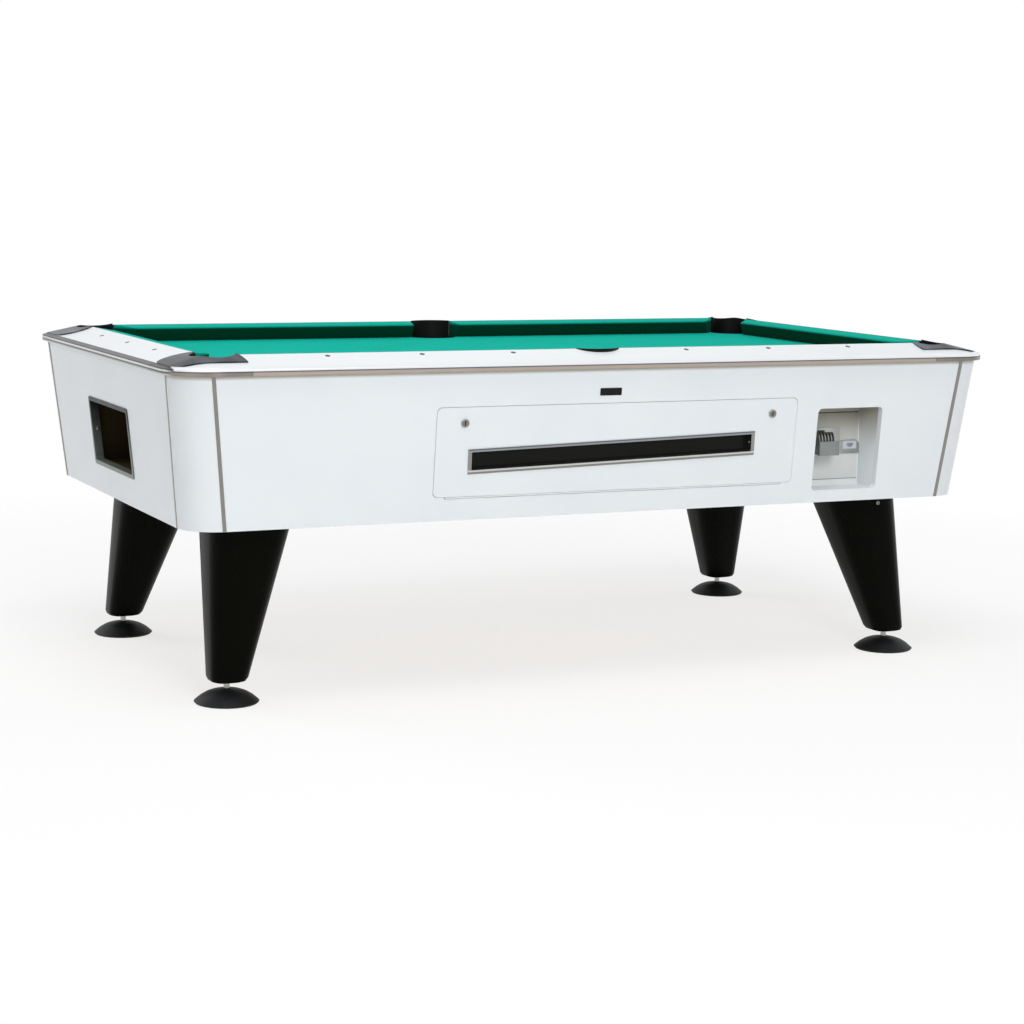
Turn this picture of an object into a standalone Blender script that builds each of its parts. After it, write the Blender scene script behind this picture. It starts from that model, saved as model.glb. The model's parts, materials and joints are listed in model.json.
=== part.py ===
"""Coin-operated pool table: tapered cabinet on four legs, slate bed, rails, six pockets,
ball door with a sloping window, coin slide that lifts the ball finger, ball box in the left end.

Metres, +Z up, X along the table, the coin side faces -Y, origin on the floor under the middle.
"""
import math

import bmesh
import bpy
from mathutils import Matrix, Vector

OBJECT_NAME = "coin_pool_table"

# Clearances, and how far a cutting tool reaches past what it cuts
GAP = 0.0003
PUSH_GAP = 0.0005
JAW_GAP = 0.0005
ARM_CLEAR = 0.001
DOOR_SEAM = 0.002
RUNWAY_END = 0.010
TOOL_MARGIN = 0.050

# Play field, cushions and rails
PLAY_LENGTH = 1.830
PLAY_WIDTH = 0.915
CUSHION_DEPTH = 0.050
RAIL_WIDTH = 0.108
RAIL_TOP = 0.800
RAIL_FALL = 0.0263
NOSE_DROP = 0.0075
NOSE_HEIGHT = 0.0345
NOSE_FLAT = 0.003
CUSHION_FOOT = 0.024
SIDE_SPLAY = 0.0105
ROOF_ROUND = 0.001

# Slate bed and cloth
CLOTH = 0.0012
SLATE = 0.019
SLATE_MARGIN = 0.003
BED_FRAME_HEIGHT = 0.036
BED_BEAM_WIDTH = 0.040
BED_BEAM_PLACE = 0.450

# Pockets
CORNER_POCKET_RADIUS = 0.056
CORNER_POCKET_OFFSET = 0.026
SIDE_POCKET_RADIUS = 0.052
SIDE_POCKET_OFFSET = 0.028
SIDE_POCKET_STRETCH = 1.23
LINER_WALL = 0.004
LINER_DROP = 0.030
SIDE_RIM = 0.001

# Edge trim and corner castings
TRIM_WALL = 0.0015
TRIM_FLANGE = 0.016
TRIM_FACE = 0.0145
TRIM_OVERHANG = 0.014
TRIM_ARM = 0.182
CASTING = 0.0028
CASTING_LONG_REACH = 0.187
CASTING_LONG_INNER = 0.176
CASTING_END_REACH = 0.160
CASTING_MARGIN = 0.050
CASTING_ROUND = 0.024

# Cabinet
CABINET_HEIGHT = 0.347
CABINET_TAPER = 0.037
CORNER_RADIUS = 0.085
PANEL = 0.018
BOTTOM_PANEL = 0.018
STRIP_WIDTH = 0.0075
STRIP_PROUD = 0.001

# Legs and levelling feet; the leg's end is eased by shares of the rounding's height and depth
LEG_EASE = ((1.0, 0.0), (0.25, 0.33), (0.0, 1.0))
LEG_TOP_INSET_X = 0.2005
LEG_TOP_INSET_Y = 0.2105
LEG_SPLAY_X = 0.0705
LEG_SPLAY_Y = 0.078
LEG_TOP_SIDE = 0.197
LEG_FOOT_SIDE = 0.086
LEG_ROUND = 0.33
LEG_BOTTOM = 0.050
LEG_BOTTOM_ROUND = 0.010
PAD_RADIUS = 0.075
PAD_HEIGHT = 0.030
PAD_RIM = 0.004
DOME_START = 0.021
BOSS_RADIUS = 0.014
BOSS_HEIGHT = 0.002
STEM_RADIUS = 0.007
STEM_HIDDEN = 0.055
STEM_ROOM = 0.020

# Ball door in the front panel; places down the slope are counted from the cabinet's top edge
DOOR_MIDDLE = 0.03075
DOOR_WIDTH = 0.9525
DOOR_TOP = 0.084
DOOR_HEIGHT = 0.209
DOOR_ROUND = 0.012
HINGE_RADIUS = 0.002
HINGE_PIN = 0.001
HINGE_LEAF = 0.0008
HINGE_DEPTH = 0.0145
HINGE_SLOT = 0.0054
HINGE_KNUCKLES = 9
HINGE_MARGIN = 0.030
WINDOW_MIDDLE = 0.01525
WINDOW_DOWN = 0.2008
WINDOW_WIDTH = 0.7575
WINDOW_HEIGHT = 0.0605
WINDOW_FACE = 0.009
WINDOW_SLEEVE = 0.003
WINDOW_PROUD = 0.0015
WINDOW_TILT = 1.5
WINDOW_ROUND = 0.002
PANE = 0.004
LOCK_SPREAD = 0.407
LOCK_DOWN = 0.1205
LOCK_FACE_RADIUS = 0.0105
LOCK_BARREL_RADIUS = 0.0092
LOCK_PROUD = 0.0035
CAM_LENGTH = 0.047
CAM_WIDTH = 0.014
CAM = 0.003
CAM_CLEAR = 0.0025

# Coin recess, chute, slide and cash box
RECESS_MIDDLE = 0.663
RECESS_WIDTH = 0.187
RECESS_FOOT = 0.030
RECESS_HEIGHT = 0.2065
RECESS_ROUND = 0.011
RECESS_DEPTH = 0.093
RECESS_WALL = 0.008
RECESS_STEP = 0.001
CHUTE_OFFSET = 0.0323
CHUTE_WALL = 0.004
CHUTE_HEIGHT = 0.0655
CHUTE_RISE = 0.0915
CHUTE_FRONT = 0.004
CHUTE_BACK = 0.148
CHUTE_BEZEL = 0.003
BEZEL_LEFT = 0.040
BEZEL_RIGHT = 0.0687
BEZEL_BORDER = 0.001
ARM_HEIGHT = 0.0325
ARM_CHAMFER = 0.008
SLIDE_WIDTH = 0.0484
SLIDE_HEIGHT = 0.0335
SLIDE_STROKE = 0.050
SLIDE_TAIL = 0.093
SLIDE_PLATE = 0.008
SLIDE_PLATE_BORDER = 0.001
SLIDE_NOSE = 0.012
SLIDE_NOSE_RISE = 0.0152
COMB_START = 0.004
COMB_DEPTH = 0.028
COMB_HEIGHT = 0.0215
COMB_LEDGE = 0.002
COMB_ROOT = 0.001
COIN_SLOTS = 5
COIN_SLOT = 0.0044
COIN_PITCH = 0.0088
CASH_WIDTH = 0.160
CASH_DEPTH = 0.130
CASH_HEIGHT = 0.070
CASH_WALL = 0.0015

# Release shaft with lever and ball finger
SHAFT_RADIUS = 0.006
ROLLER_RISE = 0.0186
LEVER_LENGTH = 0.088
LEVER_THICK = 0.006
LEVER_HALF_WIDTH = 0.004
ROLLER_RADIUS = 0.006
ROLLER_WIDTH = 0.024
FINGER_PLACE = -0.430
FINGER_THICK = 0.004
FINGER_WIDTH = 0.010
FINGER_SHORT = 0.012
FINGER_SLOT = 0.012
CHEEK_HALF = 0.016
CHEEK_DROP = 0.015

# Ball runway, ramp and box
BALL = 0.0572
RUNWAY_CHANNEL = 0.062
RUNWAY_BACK = 0.012
RUNWAY_FLOOR = 0.008
RUNWAY_LIP = 0.006
RUNWAY_LIP_HEIGHT = 0.012
RUNWAY_FRONT_CLEAR = 0.0285
RUNWAY_SINK = 0.004
RAMP = 0.010
RAMP_DROP = 0.0956
RAMP_TILT_FRONT = 2.0
RAMP_TILT_LEFT = 1.0
RAMP_NOTCH = 0.345
RAMP_OVERLAP = 0.020
RIGHT_BOARD_TILT = 11.0
LEFT_BOARD_TILT = 13.0
BOX_PLACE = 0.800
BOX_WALL = 0.012
BOX_HALF = 0.190
BOX_HEADROOM = 0.0462
BOX_CLEAR = 0.0015
BOX_SILL = 0.0007
BOX_FLOOR_TILT = 0.8
RETURN_MIDDLE = 0.0
RETURN_WIDTH = 0.340
RETURN_TOP = 0.1115
RETURN_HEIGHT = 0.1668
RETURN_FACE = 0.010
RETURN_SLEEVE = 0.004
RETURN_PROUD = 0.002
RETURN_ROUND = 0.008

# Facets
SHARP_ANGLE = math.radians(30)
CORNER_STEPS = 8
PLATE_STEPS = 4
DOME_STEPS = 4
POCKET_SIDES = 32
LEG_STEPS = 5
FOOT_STEPS = 24
PIN_SIDES = 12
MERGE = 0.00001

# What follows from the sizes above
PLAY_X = PLAY_LENGTH / 2
PLAY_Y = PLAY_WIDTH / 2
INNER_X = PLAY_X + CUSHION_DEPTH
INNER_Y = PLAY_Y + CUSHION_DEPTH
OUTER_X = INNER_X + RAIL_WIDTH
OUTER_Y = INNER_Y + RAIL_WIDTH
RIM_TOP = RAIL_TOP - RAIL_FALL + GAP + TRIM_WALL
CAB_TOP = RIM_TOP - TRIM_FACE
CAB_BOTTOM = CAB_TOP - CABINET_HEIGHT
CAB_X = OUTER_X - TRIM_OVERHANG
CAB_Y = OUTER_Y - TRIM_OVERHANG
OUTER_ROUND = CORNER_RADIUS + TRIM_OVERHANG
BED_TOP = RAIL_TOP - NOSE_DROP - NOSE_HEIGHT
SLATE_TOP = BED_TOP - CLOTH - GAP
SLATE_BOTTOM = SLATE_TOP - SLATE
FLOOR_TOP = CAB_BOTTOM + BOTTOM_PANEL
FRAME_TOP = SLATE_BOTTOM - GAP
FRAME_LOW = FRAME_TOP - BED_FRAME_HEIGHT
SLOPE = math.atan2(CABINET_TAPER, CABINET_HEIGHT)
RECESS_TOP = math.hypot(CABINET_TAPER, CABINET_HEIGHT) - RECESS_FOOT - RECESS_HEIGHT
CHUTE_FLOOR = FLOOR_TOP + CHUTE_RISE
CHUTE_MIDDLE = RECESS_MIDDLE - CHUTE_OFFSET
RAMP_MIDDLE = FRAME_LOW - RAMP_DROP
BOX_TOP = FRAME_LOW - BOX_HEADROOM
CORNER_CHORD = math.sqrt(CORNER_POCKET_RADIUS ** 2 - (CUSHION_DEPTH - CORNER_POCKET_OFFSET) ** 2)
CORNER_JAW = CORNER_CHORD - CORNER_POCKET_OFFSET + JAW_GAP
SIDE_CHORD = math.sqrt(SIDE_POCKET_RADIUS ** 2 - (CUSHION_DEPTH - SIDE_POCKET_OFFSET) ** 2)
SIDE_THROAT = SIDE_CHORD * SIDE_POCKET_STRETCH + JAW_GAP
SIDE_MOUTH = SIDE_THROAT + SIDE_SPLAY
ENDS = (-1, 1)
CORNERS = {
    "front_left": (-1, -1),
    "front_right": (1, -1),
    "back_left": (-1, 1),
    "back_right": (1, 1),
}
SIDES = {
    "front": (Vector((1, 0, 0)), Vector((0, -1, 0)), OUTER_X, OUTER_Y),
    "back": (Vector((-1, 0, 0)), Vector((0, 1, 0)), OUTER_X, OUTER_Y),
    "left": (Vector((0, -1, 0)), Vector((-1, 0, 0)), OUTER_Y, OUTER_X),
    "right": (Vector((0, 1, 0)), Vector((1, 0, 0)), OUTER_Y, OUTER_X),
}

for old in list(bpy.data.objects):
    bpy.data.objects.remove(old, do_unlink=True)

PARTS = bpy.data.collections.new(OBJECT_NAME)
TOOLS = bpy.data.collections.new("cutters")
for collection in (PARTS, TOOLS):
    bpy.context.scene.collection.children.link(collection)


# Materials
def finish(name, colour, roughness, metallic=0.0):
    """A Principled material with one colour."""
    material = bpy.data.materials.new(name)
    material.use_nodes = True
    shader = material.node_tree.nodes["Principled BSDF"]
    shader.inputs["Base Color"].default_value = (*colour, 1.0)
    shader.inputs["Roughness"].default_value = roughness
    shader.inputs["Metallic"].default_value = metallic
    return material


LAMINATE = finish("white_laminate", (0.80, 0.82, 0.83), 0.35)
ALUMINIUM = finish("satin_aluminium", (0.62, 0.62, 0.61), 0.35, 1.0)
CASTING_METAL = finish("grey_cast_metal", (0.10, 0.10, 0.11), 0.35, 0.8)
CLOTH_GREEN = finish("green_wool_cloth", (0.02, 0.42, 0.31), 0.95)
SLATE_STONE = finish("slate", (0.10, 0.11, 0.12), 0.7)
TIMBER = finish("plywood", (0.52, 0.38, 0.22), 0.7)
BLACK_PLASTIC = finish("black_plastic", (0.015, 0.015, 0.016), 0.5)
BLACK_GLOSS = finish("black_lacquer", (0.012, 0.012, 0.013), 0.2)
FOOT_PLASTIC = finish("dark_foot_plastic", (0.02, 0.022, 0.025), 0.6)
ZINC = finish("zinc_plated_steel", (0.45, 0.46, 0.46), 0.4, 1.0)
STEEL = finish("bright_steel", (0.60, 0.60, 0.60), 0.3, 1.0)
SMOKED = finish("smoked_acrylic", (0.010, 0.011, 0.010), 0.1)


# Modelling helpers
def solid(name, bm):
    """Put a finished bmesh in the scene as one object."""
    mesh = bpy.data.meshes.new(name)
    bmesh.ops.recalc_face_normals(bm, faces=bm.faces)
    bm.to_mesh(mesh)
    bm.free()
    thing = bpy.data.objects.new(name, mesh)
    PARTS.objects.link(thing)
    return thing


def block(name, low, high):
    """A box between two corners."""
    bm = bmesh.new()
    bmesh.ops.create_cube(bm, size=1.0)
    low = Vector(low)
    high = Vector(high)
    size = Matrix.Diagonal((*(high - low), 1.0))
    bmesh.ops.transform(bm, matrix=Matrix.Translation((low + high) / 2) @ size, verts=bm.verts)
    return solid(name, bm)


def rod(name, start, end, radius, sides):
    """A cylinder from one point to another."""
    start = Vector(start)
    end = Vector(end)
    bm = bmesh.new()
    length = (end - start).length
    bmesh.ops.create_cone(
        bm, cap_ends=True, segments=sides, radius1=radius, radius2=radius, depth=length
    )
    turn = Vector((0, 0, 1)).rotation_difference(end - start).to_matrix().to_4x4()
    bmesh.ops.transform(bm, matrix=Matrix.Translation((start + end) / 2) @ turn, verts=bm.verts)
    return solid(name, bm)


def loft(name, sections):
    """A solid skinned through sections that have as many points as each other."""
    bm = bmesh.new()
    rings = [[bm.verts.new(point) for point in section] for section in sections]
    for lower, upper in zip(rings, rings[1:]):
        for i in range(len(lower)):
            j = (i + 1) % len(lower)
            bm.faces.new((lower[i], lower[j], upper[j], upper[i]))
    bm.faces.new(rings[0])
    bm.faces.new(rings[-1])
    return solid(name, bm)


def turned(name, profile, steps):
    """A profile of (radius, height), run down its outer side, turned about Z."""
    mesh = bpy.data.meshes.new(name)
    points = [(radius, 0.0, height) for radius, height in profile]
    mesh.from_pydata(points, [(i, i + 1) for i in range(len(points) - 1)], [])
    thing = bpy.data.objects.new(name, mesh)
    PARTS.objects.link(thing)
    screw = thing.modifiers.new("turn", "SCREW")
    screw.steps = steps
    screw.render_steps = steps
    screw.use_merge_vertices = True
    screw.merge_threshold = MERGE
    return thing


def shape(target, tool, operation="DIFFERENCE"):
    """Cut, join or keep what is shared, with a tool that is then hidden."""
    modifier = target.modifiers.new(tool.name, "BOOLEAN")
    modifier.operation = operation
    modifier.object = tool
    if tool.name not in TOOLS.objects:
        PARTS.objects.unlink(tool)
        TOOLS.objects.link(tool)
        tool.hide_render = True
        tool.display_type = "WIRE"
    return target


def part(thing, material, parent=None, origin=None):
    """Give a piece its material, and its origin where it turns or slides."""
    thing.data.materials.append(material)
    thing.data.shade_smooth()
    thing.data.set_sharp_from_angle(angle=SHARP_ANGLE)
    if origin is not None:
        thing.data.transform(Matrix.Translation(-Vector(origin)))
        thing.location = origin
    if parent is not None:
        thing.parent = parent
    return thing


def empty(name, location, turn=(0.0, 0.0, 0.0), parent=None):
    """A frame of reference that pieces are parented to."""
    frame = bpy.data.objects.new(name, None)
    frame.location = location
    frame.rotation_euler = turn
    frame.parent = parent
    PARTS.objects.link(frame)
    return frame


def rounded(half_x, half_y, radius, steps=CORNER_STEPS):
    """Outline of a rectangle with round corners, counter-clockwise."""
    points = []
    for quarter, (sx, sy) in enumerate(((1, 1), (-1, 1), (-1, -1), (1, -1))):
        for step in range(steps + 1):
            angle = math.pi / 2 * (quarter + step / steps)
            x = sx * (half_x - radius) + radius * math.cos(angle)
            y = sy * (half_y - radius) + radius * math.sin(angle)
            points.append((x, y))
    return points


def level(outline, z):
    """An outline laid flat at a height."""
    return [Vector((x, y, z)) for x, y in outline]


def upright(outline, depth, middle_x, middle_z):
    """An outline stood up in the XZ plane at a depth."""
    return [Vector((middle_x + x, depth, middle_z + z)) for x, z in outline]


def plate(name, width, height, radius, front, back, middle_x=0.0, middle_z=0.0):
    """A rounded plate that stands in the XZ plane."""
    outline = rounded(width / 2, height / 2, radius, PLATE_STEPS)
    ends = (front, back)
    return loft(name, [upright(outline, depth, middle_x, middle_z) for depth in ends])


# Cabinet outline
def inset_at(z):
    """How far the tapered wall has come in at a height."""
    return CABINET_TAPER * (CAB_TOP - z) / CABINET_HEIGHT


def cabinet_outline(z, inset):
    """The cabinet's plan at a height, moved in from the outer face."""
    inward = inset_at(z) + inset
    return level(rounded(CAB_X - inward, CAB_Y - inward, CORNER_RADIUS - inset), z)


def rail_surface(inset):
    """Height of the sloped rail top, by the distance in from the table's edge."""
    return RAIL_TOP - RAIL_FALL * (1 - inset / RAIL_WIDTH)


def roof(name, lift):
    """Everything below the sloped rail tops, stepped in over the slate, as a tool."""
    edge = TRIM_WALL + GAP
    outer = rounded(OUTER_X - edge, OUTER_Y - edge, OUTER_ROUND - edge)
    inner = rounded(INNER_X, INNER_Y, ROOF_ROUND)
    foot_inset = inset_at(SLATE_BOTTOM) + PANEL + SLATE_MARGIN
    foot = rounded(CAB_X - foot_inset, CAB_Y - foot_inset, CORNER_RADIUS - PANEL)
    sections = [
        level(foot, BED_TOP - TOOL_MARGIN * 2),
        level(foot, CAB_TOP + GAP),
        level(outer, CAB_TOP + GAP),
        level(outer, rail_surface(edge) + lift),
        level(inner, RAIL_TOP + lift),
    ]
    return loft(name, sections)


FRONT_FACE = empty("front_face", (0, -CAB_Y, CAB_TOP), (SLOPE, 0, 0))
LEFT_FACE = empty("left_face", (-CAB_X, 0, CAB_TOP), (SLOPE, 0, -math.pi / 2))

CABINET_INSIDE = loft(
    "cabinet_inside",
    [cabinet_outline(z, PANEL + GAP) for z in (CAB_BOTTOM - TOOL_MARGIN, CAB_TOP + TOOL_MARGIN)],
)
RAIL_ROOF = roof("rail_roof", 0.0)
LINER_ROOF = roof("liner_roof", -GAP)
CASTING_UNDER = roof("casting_under", GAP * 2)
CASTING_OVER = roof("casting_over", GAP * 2 + CASTING)
FIELD = block(
    "field",
    (-INNER_X - GAP, -INNER_Y - GAP, BED_TOP),
    (INNER_X + GAP, INNER_Y + GAP, RAIL_TOP + TOOL_MARGIN),
)

POCKETS = {}
for corner, (sx, sy) in CORNERS.items():
    place = (sx * (PLAY_X + CORNER_POCKET_OFFSET), sy * (PLAY_Y + CORNER_POCKET_OFFSET))
    POCKETS[corner] = (place, CORNER_POCKET_RADIUS, 1.0)
for side, sy in (("front_side", -1), ("back_side", 1)):
    place = (0.0, sy * (PLAY_Y + SIDE_POCKET_OFFSET))
    POCKETS[side] = (place, SIDE_POCKET_RADIUS, SIDE_POCKET_STRETCH)


def well(name, place, radius, stretch, low, high):
    """An upright cylinder at a pocket, drawn out along the table by the stretch."""
    tube = rod(name, (0, 0, low), (0, 0, high), radius, POCKET_SIDES)
    tube.data.transform(Matrix.Translation((*place, 0)) @ Matrix.Diagonal((stretch, 1, 1, 1)))
    return tube


POCKET_HOLES = {
    pocket: well(pocket + "_hole", *bounds, FLOOR_TOP, RAIL_TOP + TOOL_MARGIN)
    for pocket, bounds in POCKETS.items()
}


# Cabinet panels
def side_panel(name, axis, outward, along, across):
    """A flat board between two corner panels, level at its top and bottom."""
    sections = []
    for z in (CAB_BOTTOM, CAB_TOP):
        half = along - inset_at(z) - CORNER_RADIUS - GAP
        face = across - inset_at(z)
        corners = ((-half, face), (half, face), (half, face - PANEL), (-half, face - PANEL))
        sections.append([axis * a + outward * b + Vector((0, 0, z)) for a, b in corners])
    return loft(name, sections)


front_panel = side_panel("front_panel", *SIDES["front"][:2], CAB_X, CAB_Y)
back_panel = side_panel("back_panel", *SIDES["back"][:2], CAB_X, CAB_Y)
left_panel = side_panel("left_end_panel", *SIDES["left"][:2], CAB_Y, CAB_X)
right_panel = side_panel("right_end_panel", *SIDES["right"][:2], CAB_Y, CAB_X)
for board in (front_panel, back_panel, left_panel, right_panel):
    part(board, LAMINATE)


def corner_panel(corner, sx, sy):
    """A bent panel with the joint strip standing proud along both edges."""
    strip = STRIP_WIDTH / CORNER_RADIUS
    bend = math.pi / 2
    raised = CORNER_RADIUS + STRIP_PROUD
    outer = [(raised, 0.0), (raised, strip)]
    for step in range(CORNER_STEPS + 1):
        outer.append((CORNER_RADIUS, strip + (bend - 2 * strip) * step / CORNER_STEPS))
    outer += [(raised, bend - strip), (raised, bend)]
    inner = [
        (CORNER_RADIUS - PANEL, bend * (1 - step / CORNER_STEPS)) for step in range(CORNER_STEPS + 1)
    ]
    sections = []
    for z in (CAB_BOTTOM, CAB_TOP):
        middle_x = CAB_X - inset_at(z) - CORNER_RADIUS
        middle_y = CAB_Y - inset_at(z) - CORNER_RADIUS
        ring = []
        for radius, angle in outer + inner:
            x = middle_x + radius * math.cos(angle)
            y = middle_y + radius * math.sin(angle)
            ring.append(Vector((sx * x, sy * y, z)))
        sections.append(ring)
    return part(loft("corner_panel_" + corner, sections), LAMINATE)


for corner, signs in CORNERS.items():
    corner_panel(corner, *signs)

bottom_panel = loft(
    "bottom_panel", [cabinet_outline(z, PANEL + GAP) for z in (CAB_BOTTOM, FLOOR_TOP)]
)
part(bottom_panel, TIMBER)


# Slate bed, its frame and cloth
bed_frame = loft("bed_frame", [cabinet_outline(z, PANEL + GAP) for z in (FRAME_LOW, FRAME_TOP)])
corner_reach = CORNER_POCKET_OFFSET + CORNER_POCKET_RADIUS
side_reach = SIDE_POCKET_OFFSET + SIDE_POCKET_RADIUS
pocket_room = max(corner_reach, side_reach) + SLATE_MARGIN
bed_reach = PLAY_X + pocket_room
bed_half = PLAY_Y + pocket_room
beam_left = BED_BEAM_PLACE - BED_BEAM_WIDTH / 2
beam_right = BED_BEAM_PLACE + BED_BEAM_WIDTH / 2
for bay, (start, end) in {
    "left_bay": (-bed_reach, -beam_right),
    "middle_bay": (-beam_left, beam_left),
    "right_bay": (beam_right, bed_reach),
}.items():
    low = (start, -bed_half, FRAME_LOW - TOOL_MARGIN)
    high = (end, bed_half, FRAME_TOP + TOOL_MARGIN)
    shape(bed_frame, block(bay, low, high))
part(bed_frame, TIMBER)

slate_inset = inset_at(SLATE_BOTTOM) + PANEL + SLATE_MARGIN
slate_outline = rounded(CAB_X - slate_inset, CAB_Y - slate_inset, CORNER_RADIUS - PANEL)
slate_bed = loft("slate_bed", [level(slate_outline, z) for z in (SLATE_BOTTOM, SLATE_TOP)])
bed_cloth = block(
    "bed_cloth",
    (-INNER_X + GAP, -INNER_Y + GAP, SLATE_TOP + GAP),
    (INNER_X - GAP, INNER_Y - GAP, BED_TOP),
)
for hole in POCKET_HOLES.values():
    shape(slate_bed, hole)
    shape(bed_cloth, hole)
part(slate_bed, SLATE_STONE)
part(bed_cloth, CLOTH_GREEN)


# Rails: boards with a foot on the slate, mitred at the corners and sloped on top
def rail(side, axis, outward, along, across):
    foot = SLATE_TOP + GAP
    above = RAIL_TOP + TOOL_MARGIN
    profile = ((0.0, foot), (0.0, above), (RAIL_WIDTH, above), (RAIL_WIDTH, foot))
    sections = []
    for end in ENDS:
        ring = []
        for inward, z in profile:
            reach = along - inward - GAP
            ring.append(axis * end * reach + outward * (across - inward) + Vector((0, 0, z)))
        sections.append(ring)
    board = shape(loft(side + "_rail", sections), RAIL_ROOF, "INTERSECT")
    for pocket, hole in POCKET_HOLES.items():
        if side in pocket:
            shape(board, hole)
    return part(board, LAMINATE)


for side, frame in SIDES.items():
    rail(side, *frame)


# Cushions: rubber of triangular section under cloth, cut back at the pockets
def cushion(name, axis, outward, across, start, end):
    """start and end give the place along the rail at the nose and at the back."""
    nose = BED_TOP + NOSE_HEIGHT
    back = CUSHION_DEPTH - GAP
    profile = (
        (0.0, nose - NOSE_FLAT / 2),
        (0.0, nose + NOSE_FLAT / 2),
        (back, RAIL_TOP - GAP),
        (back, BED_TOP + GAP),
        (CUSHION_FOOT, BED_TOP + GAP),
    )
    sections = []
    for at_nose, at_back in (start, end):
        ring = []
        for depth, z in profile:
            reach = at_nose + (at_back - at_nose) * depth / CUSHION_DEPTH
            ring.append(axis * reach + outward * (across + depth) + Vector((0, 0, z)))
        sections.append(ring)
    return part(loft(name, sections), CLOTH_GREEN)


for side, (axis, outward, along, across) in SIDES.items():
    play_half = along - RAIL_WIDTH - CUSHION_DEPTH
    nose_line = across - RAIL_WIDTH - CUSHION_DEPTH
    jaw = (play_half - CORNER_JAW - CUSHION_DEPTH, play_half - CORNER_JAW)
    far_jaw = (-jaw[0], -jaw[1])
    if side in ("left", "right"):
        cushion(side + "_cushion", axis, outward, nose_line, far_jaw, jaw)
    else:
        throat = (SIDE_MOUTH, SIDE_THROAT)
        far_throat = (-SIDE_MOUTH, -SIDE_THROAT)
        near, far = ("right", "left") if side == "front" else ("left", "right")
        cushion(f"{side}_{near}_cushion", axis, outward, nose_line, throat, jaw)
        cushion(f"{side}_{far}_cushion", axis, outward, nose_line, far_jaw, far_throat)


# Pocket liners: tubes through the slate, open to the field above the bed; those at the sides
# end in a level rim, those at the corners under the castings
for pocket, (place, radius, stretch) in POCKETS.items():
    low = SLATE_BOTTOM - LINER_DROP
    liner = well(pocket + "_pocket_liner", place, radius - GAP, stretch, low, RAIL_TOP + SIDE_RIM)
    bore_low = low - TOOL_MARGIN
    bore_high = RAIL_TOP + TOOL_MARGIN
    shape(liner, well(pocket + "_bore", place, radius - LINER_WALL, stretch, bore_low, bore_high))
    shape(liner, FIELD)
    if pocket in CORNERS:
        shape(liner, LINER_ROOF, "INTERSECT")
    part(liner, BLACK_PLASTIC)


# Edge trim: an angle section over the rail's edge, straight lengths and corner pieces
def trim_profile():
    top = GAP + TRIM_WALL
    return (
        (0.0, CAB_TOP),
        (0.0, rail_surface(0.0) + top - TRIM_WALL / 2),
        (TRIM_WALL / 2, rail_surface(TRIM_WALL / 2) + top),
        (TRIM_FLANGE, rail_surface(TRIM_FLANGE) + top),
        (TRIM_FLANGE, rail_surface(TRIM_FLANGE) + GAP),
        (TRIM_WALL, rail_surface(TRIM_WALL) + GAP),
        (TRIM_WALL, CAB_TOP),
    )


def sweep(name, stations):
    """The trim section carried along stations of (place on the outer edge, inward direction)."""
    sections = []
    for place, inward in stations:
        sections.append([place + inward * u + Vector((0, 0, z)) for u, z in trim_profile()])
    return loft(name, sections)


for side, (axis, outward, along, across) in SIDES.items():
    reach = along - TRIM_ARM - GAP
    ends = [(axis * reach * end + outward * across, -outward) for end in ENDS]
    part(sweep(side + "_edge_trim", ends), ALUMINIUM)


# Corner castings: the trim's corner piece in one with the plate round the pocket
def casting_outline(sx, sy):
    """Plan of the plate, by distances in from the end edge and from the long edge."""
    near = TRIM_FLANGE - TRIM_WALL
    lobe = (RAIL_WIDTH - near) / 2
    turns = [math.pi / 2 * step / CORNER_STEPS for step in range(CORNER_STEPS + 1)]
    points = []
    for turn in turns:
        p = CASTING_LONG_INNER + (CASTING_LONG_REACH - CASTING_LONG_INNER) * math.sin(turn)
        q = CASTING_MARGIN + (RAIL_WIDTH - CASTING_MARGIN) * math.cos(turn)
        points.append((p, q))
    for turn in turns:
        p = near + CASTING_ROUND * (1 - math.sin(turn))
        q = CASTING_MARGIN + CASTING_ROUND * (1 - math.cos(turn))
        points.append((p, q))
    for turn in turns:
        p = near + lobe * (1 - math.cos(2 * turn))
        points.append((p, CASTING_END_REACH + lobe * math.sin(2 * turn)))
    return [(sx * (OUTER_X - p), sy * (OUTER_Y - q)) for p, q in points]


for corner, (sx, sy) in CORNERS.items():
    middle = Vector((sx * (OUTER_X - OUTER_ROUND), sy * (OUTER_Y - OUTER_ROUND), 0))
    stations = [(Vector((sx * (OUTER_X - TRIM_ARM), sy * OUTER_Y, 0)), Vector((0, -sy, 0)))]
    for step in range(CORNER_STEPS + 1):
        angle = math.pi / 2 * (1 - step / CORNER_STEPS)
        away = Vector((sx * math.cos(angle), sy * math.sin(angle), 0))
        stations.append((middle + away * OUTER_ROUND, -away))
    stations.append((Vector((sx * OUTER_X, sy * (OUTER_Y - TRIM_ARM), 0)), Vector((-sx, 0, 0))))
    casting = sweep("corner_casting_" + corner, stations)
    outline = casting_outline(sx, sy)
    ring = loft(corner + "_plate", [level(outline, z) for z in (BED_TOP, RAIL_TOP + TOOL_MARGIN)])
    shape(ring, CASTING_OVER, "INTERSECT")
    shape(ring, CASTING_UNDER)
    shape(ring, FIELD)
    place, radius, stretch = POCKETS[corner]
    low = BED_TOP - TOOL_MARGIN
    high = RAIL_TOP + TOOL_MARGIN
    shape(ring, well(corner + "_mouth", place, radius - LINER_WALL, stretch, low, high))
    shape(casting, ring, "UNION")
    part(casting, CASTING_METAL)


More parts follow.
